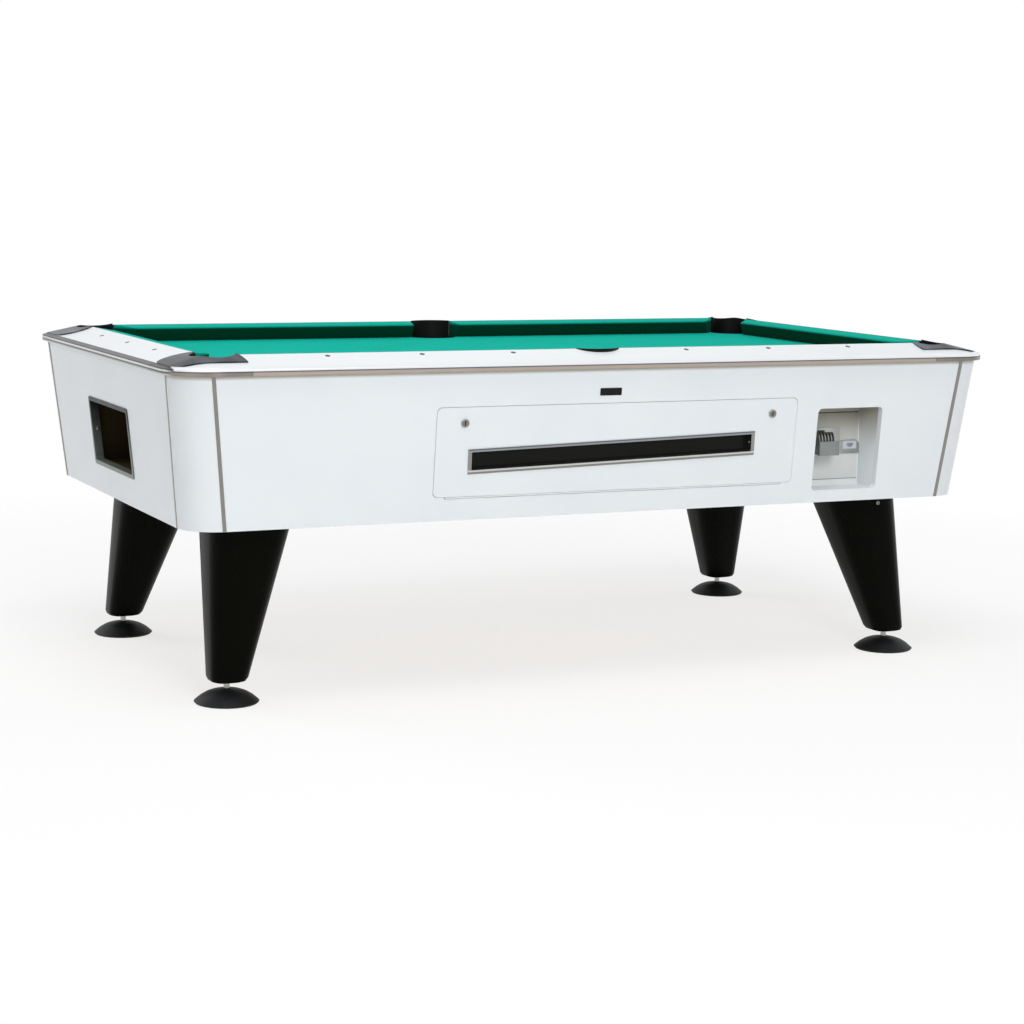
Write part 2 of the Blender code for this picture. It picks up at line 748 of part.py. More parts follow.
# Legs: rounded square, tapered and splayed, each with a bore for its foot
def leg_section(sx, sy, z, trim=0.0):
    share = (CAB_BOTTOM - z) / (CAB_BOTTOM - LEG_BOTTOM)
    side = LEG_TOP_SIDE + (LEG_FOOT_SIDE - LEG_TOP_SIDE) * share - 2 * trim
    x = CAB_X - CABINET_TAPER - LEG_TOP_INSET_X + LEG_SPLAY_X * share
    y = CAB_Y - CABINET_TAPER - LEG_TOP_INSET_Y + LEG_SPLAY_Y * share
    outline = rounded(side / 2, side / 2, side * LEG_ROUND, LEG_STEPS)
    return [Vector((sx * x + u, sy * y + v, z)) for u, v in outline]


FOOT_X = CAB_X - CABINET_TAPER - LEG_TOP_INSET_X + LEG_SPLAY_X
FOOT_Y = CAB_Y - CABINET_TAPER - LEG_TOP_INSET_Y + LEG_SPLAY_Y
STEM_TOP = LEG_BOTTOM + STEM_HIDDEN


def foot_profile():
    """Stem, boss, domed pad and flat underside."""
    dome = PAD_HEIGHT - PAD_RIM
    span = PAD_RADIUS - DOME_START
    boss_top = PAD_HEIGHT + BOSS_HEIGHT
    points = [(0.0, STEM_TOP), (STEM_RADIUS, STEM_TOP), (STEM_RADIUS, boss_top), (BOSS_RADIUS, boss_top)]
    for step in range(DOME_STEPS + 1):
        share = step / DOME_STEPS
        points.append((DOME_START + span * share, PAD_RIM + dome * (1 - share ** 2)))
    points += [(PAD_RADIUS - PAD_RIM, 0.0), (0.0, 0.0)]
    return points


for corner, (sx, sy) in CORNERS.items():
    sections = [leg_section(sx, sy, CAB_BOTTOM - GAP)]
    for rise, trim in LEG_EASE:
        z = LEG_BOTTOM + LEG_BOTTOM_ROUND * rise
        sections.append(leg_section(sx, sy, z, LEG_BOTTOM_ROUND * trim))
    leg = loft("leg_" + corner, sections)
    foot_place = (sx * FOOT_X, sy * FOOT_Y)
    bore_start = (*foot_place, LEG_BOTTOM - TOOL_MARGIN)
    bore_end = (*foot_place, STEM_TOP + STEM_ROOM)
    bore = rod(corner + "_stem_bore", bore_start, bore_end, STEM_RADIUS + GAP, FOOT_STEPS)
    part(shape(leg, bore), BLACK_GLOSS)
    foot = turned("levelling_foot_" + corner, foot_profile(), FOOT_STEPS)
    foot.location = (*foot_place, 0.0)
    part(foot, FOOT_PLASTIC)


# Ball door, hung on a piano hinge along its bottom edge
DOOR_BOTTOM = DOOR_TOP + DOOR_HEIGHT
AXIS_DOWN = DOOR_BOTTOM + HINGE_SLOT / 2
DOOR_AXIS = empty("door_axis", (0, HINGE_RADIUS, -AXIS_DOWN), parent=FRONT_FACE)
door_middle_z = -(DOOR_TOP + DOOR_BOTTOM) / 2
opening = plate(
    "door_opening",
    DOOR_WIDTH + 2 * DOOR_SEAM,
    DOOR_HEIGHT + DOOR_SEAM + HINGE_SLOT,
    DOOR_ROUND,
    -TOOL_MARGIN,
    TOOL_MARGIN,
    DOOR_MIDDLE,
    door_middle_z + (DOOR_SEAM - HINGE_SLOT) / 2,
)
opening.parent = FRONT_FACE
shape(front_panel, opening)


def on_door(thing):
    """Hand a piece made in the front face's frame to the door's axis."""
    thing.data.transform(Matrix.Translation((0, -HINGE_RADIUS, AXIS_DOWN)))
    thing.parent = DOOR_AXIS
    return thing


def tilted(thing):
    """Turn a window piece about the window's middle, rising to the right."""
    turn = Matrix.Rotation(-math.radians(WINDOW_TILT), 4, "Y")
    middle = Matrix.Translation((WINDOW_MIDDLE, 0, -WINDOW_DOWN))
    thing.data.transform(middle @ turn)
    return on_door(thing)


def ring_plate(name, width, height, face, front, back, radius):
    """An upright frame: a plate with a smaller opening right through."""
    outer = plate(name, width, height, radius, front, back)
    hole = (width - 2 * face, height - 2 * face)
    inner = plate(name + "_hole", *hole, radius / 2, front - TOOL_MARGIN, back + TOOL_MARGIN)
    return outer, inner


door = plate(
    "ball_door", DOOR_WIDTH, DOOR_HEIGHT, DOOR_ROUND, 0.0, PANEL, DOOR_MIDDLE, door_middle_z
)
on_door(part(door, LAMINATE))

light_width = WINDOW_WIDTH - 2 * WINDOW_FACE
light_height = WINDOW_HEIGHT - 2 * WINDOW_FACE
sleeve_width = light_width + 2 * WINDOW_SLEEVE
sleeve_height = light_height + 2 * WINDOW_SLEEVE
window_cut = plate(
    "window_cut",
    sleeve_width + 2 * GAP,
    sleeve_height + 2 * GAP,
    WINDOW_SLEEVE,
    -TOOL_MARGIN,
    TOOL_MARGIN,
)
shape(door, tilted(window_cut))
window_frame, light = ring_plate(
    "window_frame", WINDOW_WIDTH, WINDOW_HEIGHT, WINDOW_FACE, -GAP - WINDOW_PROUD, -GAP, WINDOW_ROUND
)
sleeve = plate("window_sleeve", sleeve_width, sleeve_height, WINDOW_SLEEVE, -GAP - WINDOW_PROUD / 2, PANEL)
shape(window_frame, tilted(sleeve), "UNION")
shape(window_frame, tilted(light))
tilted(part(window_frame, ALUMINIUM))
pane_front = PANEL + GAP
window_pane = plate(
    "window_pane", WINDOW_WIDTH, WINDOW_HEIGHT, WINDOW_ROUND, pane_front, pane_front + PANE
)
tilted(part(window_pane, SMOKED))

# Cam locks, at rest with the cam lying along the door so that it is free to open
for side, sign in (("left", -1), ("right", 1)):
    x = DOOR_MIDDLE + sign * LOCK_SPREAD
    cam_front = PANEL + CAM_CLEAR
    lock_axis = empty(side + "_lock_axis", (0, 0, 0), parent=DOOR_AXIS)
    lock_axis.location = (x, -HINGE_RADIUS, AXIS_DOWN - LOCK_DOWN)
    lock = rod(side + "_lock", (0, -LOCK_PROUD, 0), (0, -GAP, 0), LOCK_FACE_RADIUS, FOOT_STEPS)
    barrel = rod(
        side + "_barrel",
        (0, -LOCK_PROUD / 2, 0),
        (0, cam_front + CAM, 0),
        LOCK_BARREL_RADIUS,
        FOOT_STEPS,
    )
    cam_ends = sorted((sign * CAM_WIDTH / 2, -sign * CAM_LENGTH))
    cam = block(
        side + "_cam",
        (cam_ends[0], cam_front, -CAM_WIDTH / 2),
        (cam_ends[1], cam_front + CAM, CAM_WIDTH / 2),
    )
    for piece in (barrel, cam):
        piece.parent = lock_axis
        shape(lock, piece, "UNION")
    part(lock, ZINC, lock_axis)
    lock_bore = rod(
        side + "_lock_bore",
        (x, -TOOL_MARGIN, -LOCK_DOWN),
        (x, TOOL_MARGIN, -LOCK_DOWN),
        LOCK_BARREL_RADIUS + GAP,
        FOOT_STEPS,
    )
    shape(door, on_door(lock_bore))


# Piano hinge: two leaves with knuckles in turn, on one pin
def hinge_leaf(name, rise, turns, radius):
    """A leaf in the slot under the door, with its own knuckles about the axis."""
    left = DOOR_MIDDLE - DOOR_WIDTH / 2 + HINGE_MARGIN
    pitch = (DOOR_WIDTH - 2 * HINGE_MARGIN) / HINGE_KNUCKLES
    seat = HINGE_SLOT / 2 - GAP
    low, high = sorted((rise * seat, rise * (seat - HINGE_LEAF)))
    start = HINGE_RADIUS + GAP * 2
    right = left + pitch * HINGE_KNUCKLES
    leaf = block(name, (left + GAP, start, low), (right - GAP, HINGE_DEPTH, high))
    for turn in turns:
        x0 = left + pitch * turn + GAP
        x1 = left + pitch * (turn + 1) - GAP
        tab = block(f"{name}_tab_{turn}", (x0, 0.0, low), (x1, start + GAP, high))
        knuckle = rod(f"{name}_knuckle_{turn}", (x0, 0, 0), (x1, 0, 0), HINGE_RADIUS, PIN_SIDES)
        for piece in (tab, knuckle):
            piece.parent = DOOR_AXIS
            shape(leaf, piece, "UNION")
    pin = rod(name + "_pin", (left + GAP * 2, 0, 0), (right - GAP * 2, 0, 0), radius, PIN_SIDES)
    pin.parent = DOOR_AXIS
    return leaf, pin


fixed_leaf, hinge_pin = hinge_leaf("hinge_fixed_leaf", -1, range(0, HINGE_KNUCKLES, 2), HINGE_PIN)
shape(fixed_leaf, hinge_pin, "UNION")
part(fixed_leaf, STEEL, DOOR_AXIS)
swing_turns = range(1, HINGE_KNUCKLES, 2)
swing_leaf, pin_bore = hinge_leaf("hinge_swing_leaf", 1, swing_turns, HINGE_PIN + GAP)
shape(swing_leaf, pin_bore)
part(swing_leaf, STEEL, DOOR_AXIS)


# Ball return: framed opening in the left end, with its box behind
return_middle_z = -(RETURN_TOP + RETURN_HEIGHT / 2)
return_light = (RETURN_WIDTH - 2 * RETURN_FACE, RETURN_HEIGHT - 2 * RETURN_FACE)
return_sleeve = [size + 2 * RETURN_SLEEVE for size in return_light]


def in_left_end(thing):
    thing.data.transform(Matrix.Translation((RETURN_MIDDLE, 0, return_middle_z)))
    thing.parent = LEFT_FACE
    return thing


return_cut = plate(
    "return_cut",
    return_sleeve[0] + 2 * GAP,
    return_sleeve[1] + 2 * GAP,
    RETURN_ROUND,
    -TOOL_MARGIN,
    TOOL_MARGIN,
)
shape(left_panel, in_left_end(return_cut))
return_frame, return_hole = ring_plate(
    "ball_return_frame",
    RETURN_WIDTH,
    RETURN_HEIGHT,
    RETURN_FACE,
    -GAP - RETURN_PROUD,
    -GAP,
    RETURN_ROUND,
)
return_tube = plate(
    "return_tube", *return_sleeve, RETURN_ROUND, -GAP - RETURN_PROUD / 2, PANEL * math.cos(SLOPE)
)
shape(return_frame, in_left_end(return_tube), "UNION")
shape(return_frame, in_left_end(return_hole))
in_left_end(part(return_frame, ALUMINIUM))


# Coin recess: a white box behind the front panel
recess_cut = plate(
    "recess_cut",
    RECESS_WIDTH,
    RECESS_HEIGHT,
    RECESS_ROUND,
    -TOOL_MARGIN,
    TOOL_MARGIN,
    RECESS_MIDDLE,
    -(RECESS_TOP + RECESS_HEIGHT / 2),
)
recess_cut.parent = FRONT_FACE
shape(front_panel, recess_cut)


def front_at(down):
    """Place of the front face, down the slope from its top edge."""
    return -CAB_Y + down * math.sin(SLOPE), CAB_TOP - down * math.cos(SLOPE)


recess_high = front_at(RECESS_TOP)[1] + RECESS_STEP
recess_low = front_at(RECESS_TOP + RECESS_HEIGHT)[1] - RECESS_STEP
recess_back = front_at(RECESS_TOP + RECESS_HEIGHT / 2)[0] + RECESS_DEPTH
recess_half = RECESS_WIDTH / 2 + RECESS_STEP
RECESS_LEFT = RECESS_MIDDLE - recess_half - RECESS_WALL
RECESS_RIGHT = RECESS_MIDDLE + recess_half + RECESS_WALL
coin_recess = block(
    "coin_recess",
    (RECESS_LEFT, -CAB_Y, FLOOR_TOP + GAP),
    (RECESS_RIGHT, recess_back + RECESS_WALL, recess_high + RECESS_WALL),
)
shape(coin_recess, CABINET_INSIDE, "INTERSECT")
recess_room = block(
    "recess_room",
    (RECESS_MIDDLE - recess_half, -CAB_Y - TOOL_MARGIN, recess_low),
    (RECESS_MIDDLE + recess_half, recess_back, recess_high),
)
shape(coin_recess, recess_room)

# Coin chute: bezel with an arm, housing round the slide, and cheeks for the release shaft
chute_half = SLIDE_WIDTH / 2 + GAP + CHUTE_WALL
chute_high = CHUTE_FLOOR + CHUTE_HEIGHT
chute_front = recess_back - CHUTE_FRONT
chute_back = recess_back + CHUTE_BACK
channel_low = CHUTE_FLOOR + CHUTE_WALL
channel_high = channel_low + SLIDE_HEIGHT + 2 * GAP
channel_half = SLIDE_WIDTH / 2 + GAP
slide_tail = recess_back + SLIDE_TAIL
lever_swing = math.asin(SLIDE_STROKE / 2 / LEVER_LENGTH)
SHAFT_Y = slide_tail + PUSH_GAP + ROLLER_RADIUS + SLIDE_STROKE / 2
slide_low = channel_low + GAP
SHAFT_HEIGHT = slide_low + ROLLER_RISE - LEVER_LENGTH * math.cos(lever_swing)
chute_hole = block(
    "chute_hole",
    (CHUTE_MIDDLE - chute_half - GAP, recess_back - TOOL_MARGIN, CHUTE_FLOOR - GAP),
    (CHUTE_MIDDLE + chute_half + GAP, recess_back + TOOL_MARGIN, chute_high + GAP),
)
shape(coin_recess, chute_hole)
part(coin_recess, LAMINATE)

coin_chute = block(
    "coin_chute",
    (CHUTE_MIDDLE - chute_half, chute_front, CHUTE_FLOOR),
    (CHUTE_MIDDLE + chute_half, chute_back, chute_high),
)
bezel_left = CHUTE_MIDDLE - BEZEL_LEFT
bezel_right = CHUTE_MIDDLE + BEZEL_RIGHT
bezel_low = CHUTE_FLOOR - BEZEL_BORDER
bezel_high = chute_high + BEZEL_BORDER
arm_end = RECESS_MIDDLE + recess_half - ARM_CLEAR
arm_high = CHUTE_FLOOR + ARM_HEIGHT
bezel_outline = (
    (bezel_left, bezel_low),
    (arm_end, bezel_low),
    (arm_end, arm_high - ARM_CHAMFER),
    (arm_end - ARM_CHAMFER, arm_high),
    (bezel_right, arm_high),
    (bezel_right, bezel_high),
    (bezel_left, bezel_high),
)
bezel_depths = (recess_back - GAP - CHUTE_BEZEL, recess_back - GAP)
bezel = loft("chute_bezel", [upright(bezel_outline, depth, 0, 0) for depth in bezel_depths])
shape(coin_chute, bezel, "UNION")
for side in ENDS:
    x0, x1 = sorted((side * channel_half, side * chute_half))
    cheek = block(
        f"cheek_{side}",
        (CHUTE_MIDDLE + x0, SHAFT_Y - CHEEK_HALF, SHAFT_HEIGHT - CHEEK_DROP),
        (CHUTE_MIDDLE + x1, SHAFT_Y + CHEEK_HALF, channel_low),
    )
    shape(coin_chute, cheek, "UNION")
channel = block(
    "slide_channel",
    (CHUTE_MIDDLE - channel_half, chute_front - TOOL_MARGIN, channel_low),
    (CHUTE_MIDDLE + channel_half, chute_back + TOOL_MARGIN, channel_high),
)
shape(coin_chute, channel)
slide_high = slide_low + SLIDE_HEIGHT
plate_back = chute_front - SLIDE_STROKE - DOOR_SEAM
comb_half = SLIDE_WIDTH / 2 - COMB_LEDGE
comb_front = plate_back + COMB_START
comb_back = comb_front + COMB_DEPTH
comb_high = slide_high + COMB_HEIGHT
comb_way = block(
    "comb_way",
    (CHUTE_MIDDLE - comb_half - GAP, chute_front - TOOL_MARGIN, channel_low + CHUTE_WALL),
    (CHUTE_MIDDLE + comb_half + GAP, comb_back + SLIDE_STROKE + DOOR_SEAM, comb_high + 2 * GAP),
)
shape(coin_chute, comb_way)
coin_drop = block(
    "coin_drop",
    (CHUTE_MIDDLE - channel_half, recess_back + RECESS_WALL + CHUTE_WALL, CHUTE_FLOOR - CHUTE_WALL),
    (CHUTE_MIDDLE + channel_half, chute_back + TOOL_MARGIN, channel_low + CHUTE_WALL),
)
shape(coin_chute, coin_drop)
shaft_bore = rod(
    "shaft_bore",
    (-OUTER_X, SHAFT_Y, SHAFT_HEIGHT),
    (OUTER_X, SHAFT_Y, SHAFT_HEIGHT),
    SHAFT_RADIUS + GAP,
    FOOT_STEPS,
)
shape(coin_chute, shaft_bore)
part(coin_chute, ZINC)

# Coin slide: it carries an arched comb of coin slots, is pushed in by its plate, and turns the
# shaft with its raised tail
coin_slide = block(
    "coin_slide",
    (CHUTE_MIDDLE - SLIDE_WIDTH / 2, plate_back - GAP, slide_low),
    (CHUTE_MIDDLE + SLIDE_WIDTH / 2, slide_tail, slide_high),
)
push_plate = block(
    "push_plate",
    (CHUTE_MIDDLE - chute_half, plate_back - SLIDE_PLATE, slide_low - SLIDE_PLATE_BORDER),
    (CHUTE_MIDDLE + chute_half, plate_back, slide_high + SLIDE_PLATE_BORDER),
)
comb_arch = [(comb_front, slide_high - COMB_ROOT)]
for step in range(CORNER_STEPS + 1):
    angle = math.pi * step / CORNER_STEPS
    y = (comb_front + comb_back) / 2 - COMB_DEPTH / 2 * math.cos(angle)
    comb_arch.append((y, slide_high + COMB_HEIGHT * math.sin(angle)))
comb_arch.append((comb_back, slide_high - COMB_ROOT))
comb_ends = (CHUTE_MIDDLE - comb_half, CHUTE_MIDDLE + comb_half)
comb = loft("coin_comb", [[Vector((x, y, z)) for y, z in comb_arch] for x in comb_ends])
for piece in (push_plate, comb):
    shape(coin_slide, piece, "UNION")
tail_cut = block(
    "tail_cut",
    (CHUTE_MIDDLE - chute_half, slide_tail - SLIDE_NOSE, slide_low - CHUTE_WALL),
    (CHUTE_MIDDLE + chute_half, slide_tail + SLIDE_NOSE, slide_low + SLIDE_NOSE_RISE),
)
shape(coin_slide, tail_cut)
for index in range(COIN_SLOTS):
    x = CHUTE_MIDDLE + (index - (COIN_SLOTS - 1) / 2) * COIN_PITCH
    slot = block(
        f"coin_slot_{index}",
        (x - COIN_SLOT / 2, comb_front - DOOR_SEAM, (slide_low + slide_high) / 2),
        (x + COIN_SLOT / 2, comb_back + DOOR_SEAM, comb_high + TOOL_MARGIN),
    )
    shape(coin_slide, slot)
part(coin_slide, ZINC, origin=(CHUTE_MIDDLE, plate_back, slide_low))

cash_left = CHUTE_MIDDLE + chute_half + DOOR_SEAM
cash_front = recess_back + RECESS_WALL + DOOR_SEAM
cash_box = block(
    "cash_box",
    (cash_left, cash_front, FLOOR_TOP + GAP),
    (cash_left + CASH_WIDTH, cash_front + CASH_DEPTH, FLOOR_TOP + GAP + CASH_HEIGHT),
)
cash_room = block(
    "cash_room",
    (cash_left + CASH_WALL, cash_front + CASH_WALL, FLOOR_TOP + GAP + CASH_WALL),
    (
        cash_left + CASH_WIDTH - CASH_WALL,
        cash_front + CASH_DEPTH - CASH_WALL,
        FLOOR_TOP + GAP + CASH_HEIGHT + TOOL_MARGIN,
    ),
)
part(shape(cash_box, cash_room), ZINC)


# Ball runway behind the window, sloping down to the left
window_y, window_z = front_at(WINDOW_DOWN)
lip_front = window_y + RUNWAY_FRONT_CLEAR
channel_front = lip_front + RUNWAY_LIP
channel_end = channel_front + RUNWAY_CHANNEL
board_back = channel_end + RUNWAY_BACK
runway_z = window_z - BALL / 2 - RUNWAY_SINK
RUNWAY_LEFT = -BOX_PLACE + GAP
RUNWAY_RIGHT = RECESS_LEFT - RUNWAY_END
fall = math.tan(math.radians(WINDOW_TILT))

RAMP_FRAME = empty(
    "ramp_frame",
    (0, 0, RAMP_MIDDLE),
    (math.radians(RAMP_TILT_FRONT), -math.radians(RAMP_TILT_LEFT), 0),
)


def ramp_height(x, y):
    """Top of the ramp at a place."""
    back = math.tan(math.radians(RAMP_TILT_FRONT)) / math.cos(math.radians(RAMP_TILT_LEFT))
    right = math.tan(math.radians(RAMP_TILT_LEFT))
    return RAMP_MIDDLE + y * back + x * right


RAMP_DEPTH = RAMP / math.cos(math.radians(RAMP_TILT_FRONT)) / math.cos(math.radians(RAMP_TILT_LEFT))


def runway_section(x):
    """Lip, floor and back board at a place along the runway."""
    floor = runway_z + (x - WINDOW_MIDDLE) * fall
    board_top = ramp_height(x, channel_end) - RAMP_DEPTH - GAP
    profile = (
        (lip_front, floor - RUNWAY_FLOOR),
        (lip_front, floor + RUNWAY_LIP_HEIGHT),
        (channel_front, floor + RUNWAY_LIP_HEIGHT),
        (channel_front, floor),
        (channel_end, floor),
        (channel_end, board_top),
        (board_back, board_top),
        (board_back, FLOOR_TOP + GAP),
        (channel_end, FLOOR_TOP + GAP),
        (channel_end, floor - RUNWAY_FLOOR),
    )
    return [Vector((x, y, z)) for y, z in profile]


ball_runway = loft("ball_runway", [runway_section(x) for x in (RUNWAY_LEFT, RUNWAY_RIGHT)])
finger_floor = runway_z + (FINGER_PLACE - WINDOW_MIDDLE) * fall
finger_gate = block(
    "finger_gate",
    (FINGER_PLACE - FINGER_SLOT / 2, channel_end - RUNWAY_LIP, finger_floor - FINGER_WIDTH),
    (FINGER_PLACE + FINGER_SLOT / 2, board_back + TOOL_MARGIN, RAIL_TOP),
)
shape(ball_runway, finger_gate)
part(ball_runway, TIMBER)

# Release shaft: the slide's tail pushes the lever, the finger swings up out of the runway
ball_y = (channel_front + channel_end) / 2
ball_z = finger_floor + BALL / 2
finger_angle = math.atan2(ball_z - SHAFT_HEIGHT, SHAFT_Y - ball_y)
finger_reach = math.hypot(ball_z - SHAFT_HEIGHT, SHAFT_Y - ball_y) - FINGER_SHORT
SHAFT_LEFT = -BOX_PLACE - DOOR_SEAM
SHAFT_RIGHT = CHUTE_MIDDLE + chute_half
release_shaft = rod(
    "release_shaft", (SHAFT_LEFT, 0, 0), (SHAFT_RIGHT, 0, 0), SHAFT_RADIUS, FOOT_STEPS
)
lever = block(
    "lever",
    (CHUTE_MIDDLE - LEVER_THICK / 2, -LEVER_HALF_WIDTH, 0),
    (CHUTE_MIDDLE + LEVER_THICK / 2, LEVER_HALF_WIDTH, LEVER_LENGTH),
)
lever.data.transform(Matrix.Rotation(lever_swing, 4, "X"))
roller_y = -LEVER_LENGTH * math.sin(lever_swing)
roller_z = LEVER_LENGTH * math.cos(lever_swing)
roller = rod(
    "roller",
    (CHUTE_MIDDLE - ROLLER_WIDTH / 2, roller_y, roller_z),
    (CHUTE_MIDDLE + ROLLER_WIDTH / 2, roller_y, roller_z),
    ROLLER_RADIUS,
    FOOT_STEPS,
)
finger = block(
    "finger",
    (FINGER_PLACE - FINGER_THICK / 2, -finger_reach, -FINGER_WIDTH / 2),
    (FINGER_PLACE + FINGER_THICK / 2, 0, FINGER_WIDTH / 2),
)
finger.data.transform(Matrix.Rotation(-finger_angle, 4, "X"))
SHAFT_AXIS = empty("shaft_axis", (0, SHAFT_Y, SHAFT_HEIGHT))
for piece in (lever, roller, finger):
    piece.parent = SHAFT_AXIS
    shape(release_shaft, piece, "UNION")
part(release_shaft, STEEL, SHAFT_AXIS)

# Ball box behind the left end, with the way in from the runway at its front
box_back = -BOX_PLACE + BOX_WALL
box_out = -CAB_X
left_height = ramp_height(box_back, -RAMP_NOTCH)
left_depth = RAMP / math.cos(math.radians(LEFT_BOARD_TILT))
BOX_LOW_TOP = left_height - left_depth - BOX_CLEAR
return_low = RETURN_TOP + RETURN_HEIGHT - RETURN_FACE
BOX_FLOOR = CAB_TOP - return_low * math.cos(SLOPE) - BOX_SILL
ball_box = block(
    "ball_box", (-BOX_PLACE, board_back + GAP, FLOOR_TOP + GAP), (box_back, BOX_HALF, BOX_LOW_TOP)
)
box_high = block(
    "box_high", (-BOX_PLACE, -BOX_HALF, BOX_LOW_TOP - BOX_WALL), (box_back, BOX_HALF, BOX_TOP)
)
box_side = block(
    "box_side", (box_out, BOX_HALF - BOX_WALL, FLOOR_TOP + GAP), (box_back - GAP, BOX_HALF, BOX_TOP)
)
box_bridge = block(
    "box_bridge", (box_out, -BOX_HALF, BOX_LOW_TOP), (box_back - GAP, -BOX_HALF + BOX_WALL, BOX_TOP)
)
box_floor = block(
    "box_floor", (box_out, -OUTER_Y, -RUNWAY_FLOOR), (-BOX_PLACE, BOX_HALF - BOX_WALL / 2, 0)
)
floor_turn = Matrix.Rotation(-math.radians(BOX_FLOOR_TILT), 4, "X")
box_floor.data.transform(Matrix.Translation((0, 0, BOX_FLOOR)) @ floor_turn)
box_sill = block(
    "box_sill",
    (-BOX_PLACE - BOX_WALL, board_back + GAP, FLOOR_TOP + GAP),
    (-BOX_PLACE + GAP, BOX_HALF, BOX_FLOOR - RUNWAY_FLOOR / 2),
)
for piece in (box_high, box_side, box_bridge, box_floor, box_sill):
    shape(ball_box, piece, "UNION")
shape(ball_box, CABINET_INSIDE, "INTERSECT")
shape(ball_box, shaft_bore)
part(ball_box, BLACK_PLASTIC)


# Ball ramp: a tilted board under the pockets, with a board at each front corner
ball_ramp = block("ball_ramp", (-OUTER_X, channel_end, -RAMP), (OUTER_X, OUTER_Y, 0.0))
ball_ramp.parent = RAMP_FRAME
notches = {
    "recess_notch": ((RUNWAY_RIGHT, -OUTER_Y, CAB_BOTTOM), (OUTER_X, -RAMP_NOTCH, RAIL_TOP)),
    "box_notch": ((-OUTER_X, -OUTER_Y, CAB_BOTTOM), (box_back + GAP, BOX_HALF + GAP, RAIL_TOP)),
    "finger_slot": (
        (FINGER_PLACE - FINGER_SLOT / 2, -OUTER_Y, CAB_BOTTOM),
        (FINGER_PLACE + FINGER_SLOT / 2, SHAFT_Y - finger_reach / 4, RAIL_TOP),
    ),
}
for name, (low, high) in notches.items():
    shape(ball_ramp, block(name, low, high))

right_edge = RECESS_RIGHT + DOOR_SEAM
right_middle = (right_edge + CAB_X) / 2
right_board = block("right_board", (right_edge, -OUTER_Y, -RAMP), (OUTER_X, RAMP_OVERLAP, 0.0))
right_turn = Matrix.Rotation(-math.radians(RIGHT_BOARD_TILT), 4, "X")
right_place = (0, -RAMP_NOTCH, ramp_height(right_middle, -RAMP_NOTCH))
right_board.data.transform(Matrix.Translation(right_place) @ right_turn)
left_board = block("left_board", (-OUTER_X, channel_end, -RAMP), (RAMP_OVERLAP, -BOX_HALF - GAP, 0.0))
left_turn = Matrix.Rotation(math.radians(LEFT_BOARD_TILT), 4, "Y")
left_place = (box_back, 0, left_height)
left_board.data.transform(Matrix.Translation(left_place) @ left_turn)
for piece in (right_board, left_board):
    shape(ball_ramp, piece, "UNION")
shape(ball_ramp, CABINET_INSIDE, "INTERSECT")
part(ball_ramp, TIMBER)
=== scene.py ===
# %% [markdown]
# A coin-operated pool table, dressed for the camera.
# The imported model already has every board, casting and lever at its real size. This lesson gives each
# surface its finish, models the cloth, the strips, sights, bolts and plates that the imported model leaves
# plain, and sets up the studio. Everything is in metres, with the coin side facing -Y.

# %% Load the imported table
import json
import math

import bmesh
import bpy
from mathutils import Matrix, Vector


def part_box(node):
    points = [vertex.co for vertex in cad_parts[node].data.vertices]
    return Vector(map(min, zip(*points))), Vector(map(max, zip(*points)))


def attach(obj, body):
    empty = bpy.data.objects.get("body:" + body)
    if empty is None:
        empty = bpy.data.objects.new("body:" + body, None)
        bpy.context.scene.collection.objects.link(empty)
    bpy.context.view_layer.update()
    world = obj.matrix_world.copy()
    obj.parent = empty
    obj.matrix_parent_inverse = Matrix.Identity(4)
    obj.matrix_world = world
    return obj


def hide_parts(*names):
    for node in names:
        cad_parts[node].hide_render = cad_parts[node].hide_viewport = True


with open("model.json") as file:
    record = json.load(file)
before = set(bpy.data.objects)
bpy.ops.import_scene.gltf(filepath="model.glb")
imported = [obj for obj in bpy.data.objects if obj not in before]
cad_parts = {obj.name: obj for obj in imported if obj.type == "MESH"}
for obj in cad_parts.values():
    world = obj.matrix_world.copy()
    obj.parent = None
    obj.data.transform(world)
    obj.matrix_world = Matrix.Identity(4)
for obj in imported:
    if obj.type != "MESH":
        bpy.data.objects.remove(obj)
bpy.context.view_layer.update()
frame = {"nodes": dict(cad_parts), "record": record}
nodes = frame["nodes"]
print("nodes loaded:", len(nodes))

# %% [markdown]
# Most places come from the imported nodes, so that they aren't typed twice. The cabinet's lean and the play
# field are read from the boxes of a few nodes. The rail's fall, the board's thickness and a few places on
# a node's face don't show in a box, and are given as numbers.

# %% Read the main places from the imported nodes
cloth_low, cloth_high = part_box("bed_cloth")
panel_low, panel_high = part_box("front_panel")
end_low, end_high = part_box("left_end_panel")
door_low, door_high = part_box("ball_door")
recess_low, recess_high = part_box("coin_recess")
rail_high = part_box("front_rail")[1]

BED_TOP = cloth_high.z
RAIL_TOP = rail_high.z
INNER_X = -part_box("left_rail")[1].x
INNER_Y = -rail_high.y
OUTER_X = -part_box("left_edge_trim")[0].x
OUTER_Y = -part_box("front_edge_trim")[0].y
RAIL_WIDTH = OUTER_Y - INNER_Y
RAIL_FALL = 0.0263
RAIL_TILT = math.atan2(RAIL_FALL, RAIL_WIDTH)
CAB_TOP = panel_high.z
CAB_BOTTOM = panel_low.z
CAB_X = -end_low.x
CAB_Y = -panel_low.y
PANEL = 0.018
TAPER = panel_high.y - panel_low.y - PANEL
LEAN = math.atan2(TAPER, CAB_TOP - CAB_BOTTOM)
FRONT = Matrix.Translation((0, -CAB_Y, CAB_TOP)) @ Matrix.Rotation(LEAN, 4, "X")
print(f"cabinet leans {math.degrees(LEAN):.2f} degrees, rail {RAIL_WIDTH * 1000:.0f} mm wide")

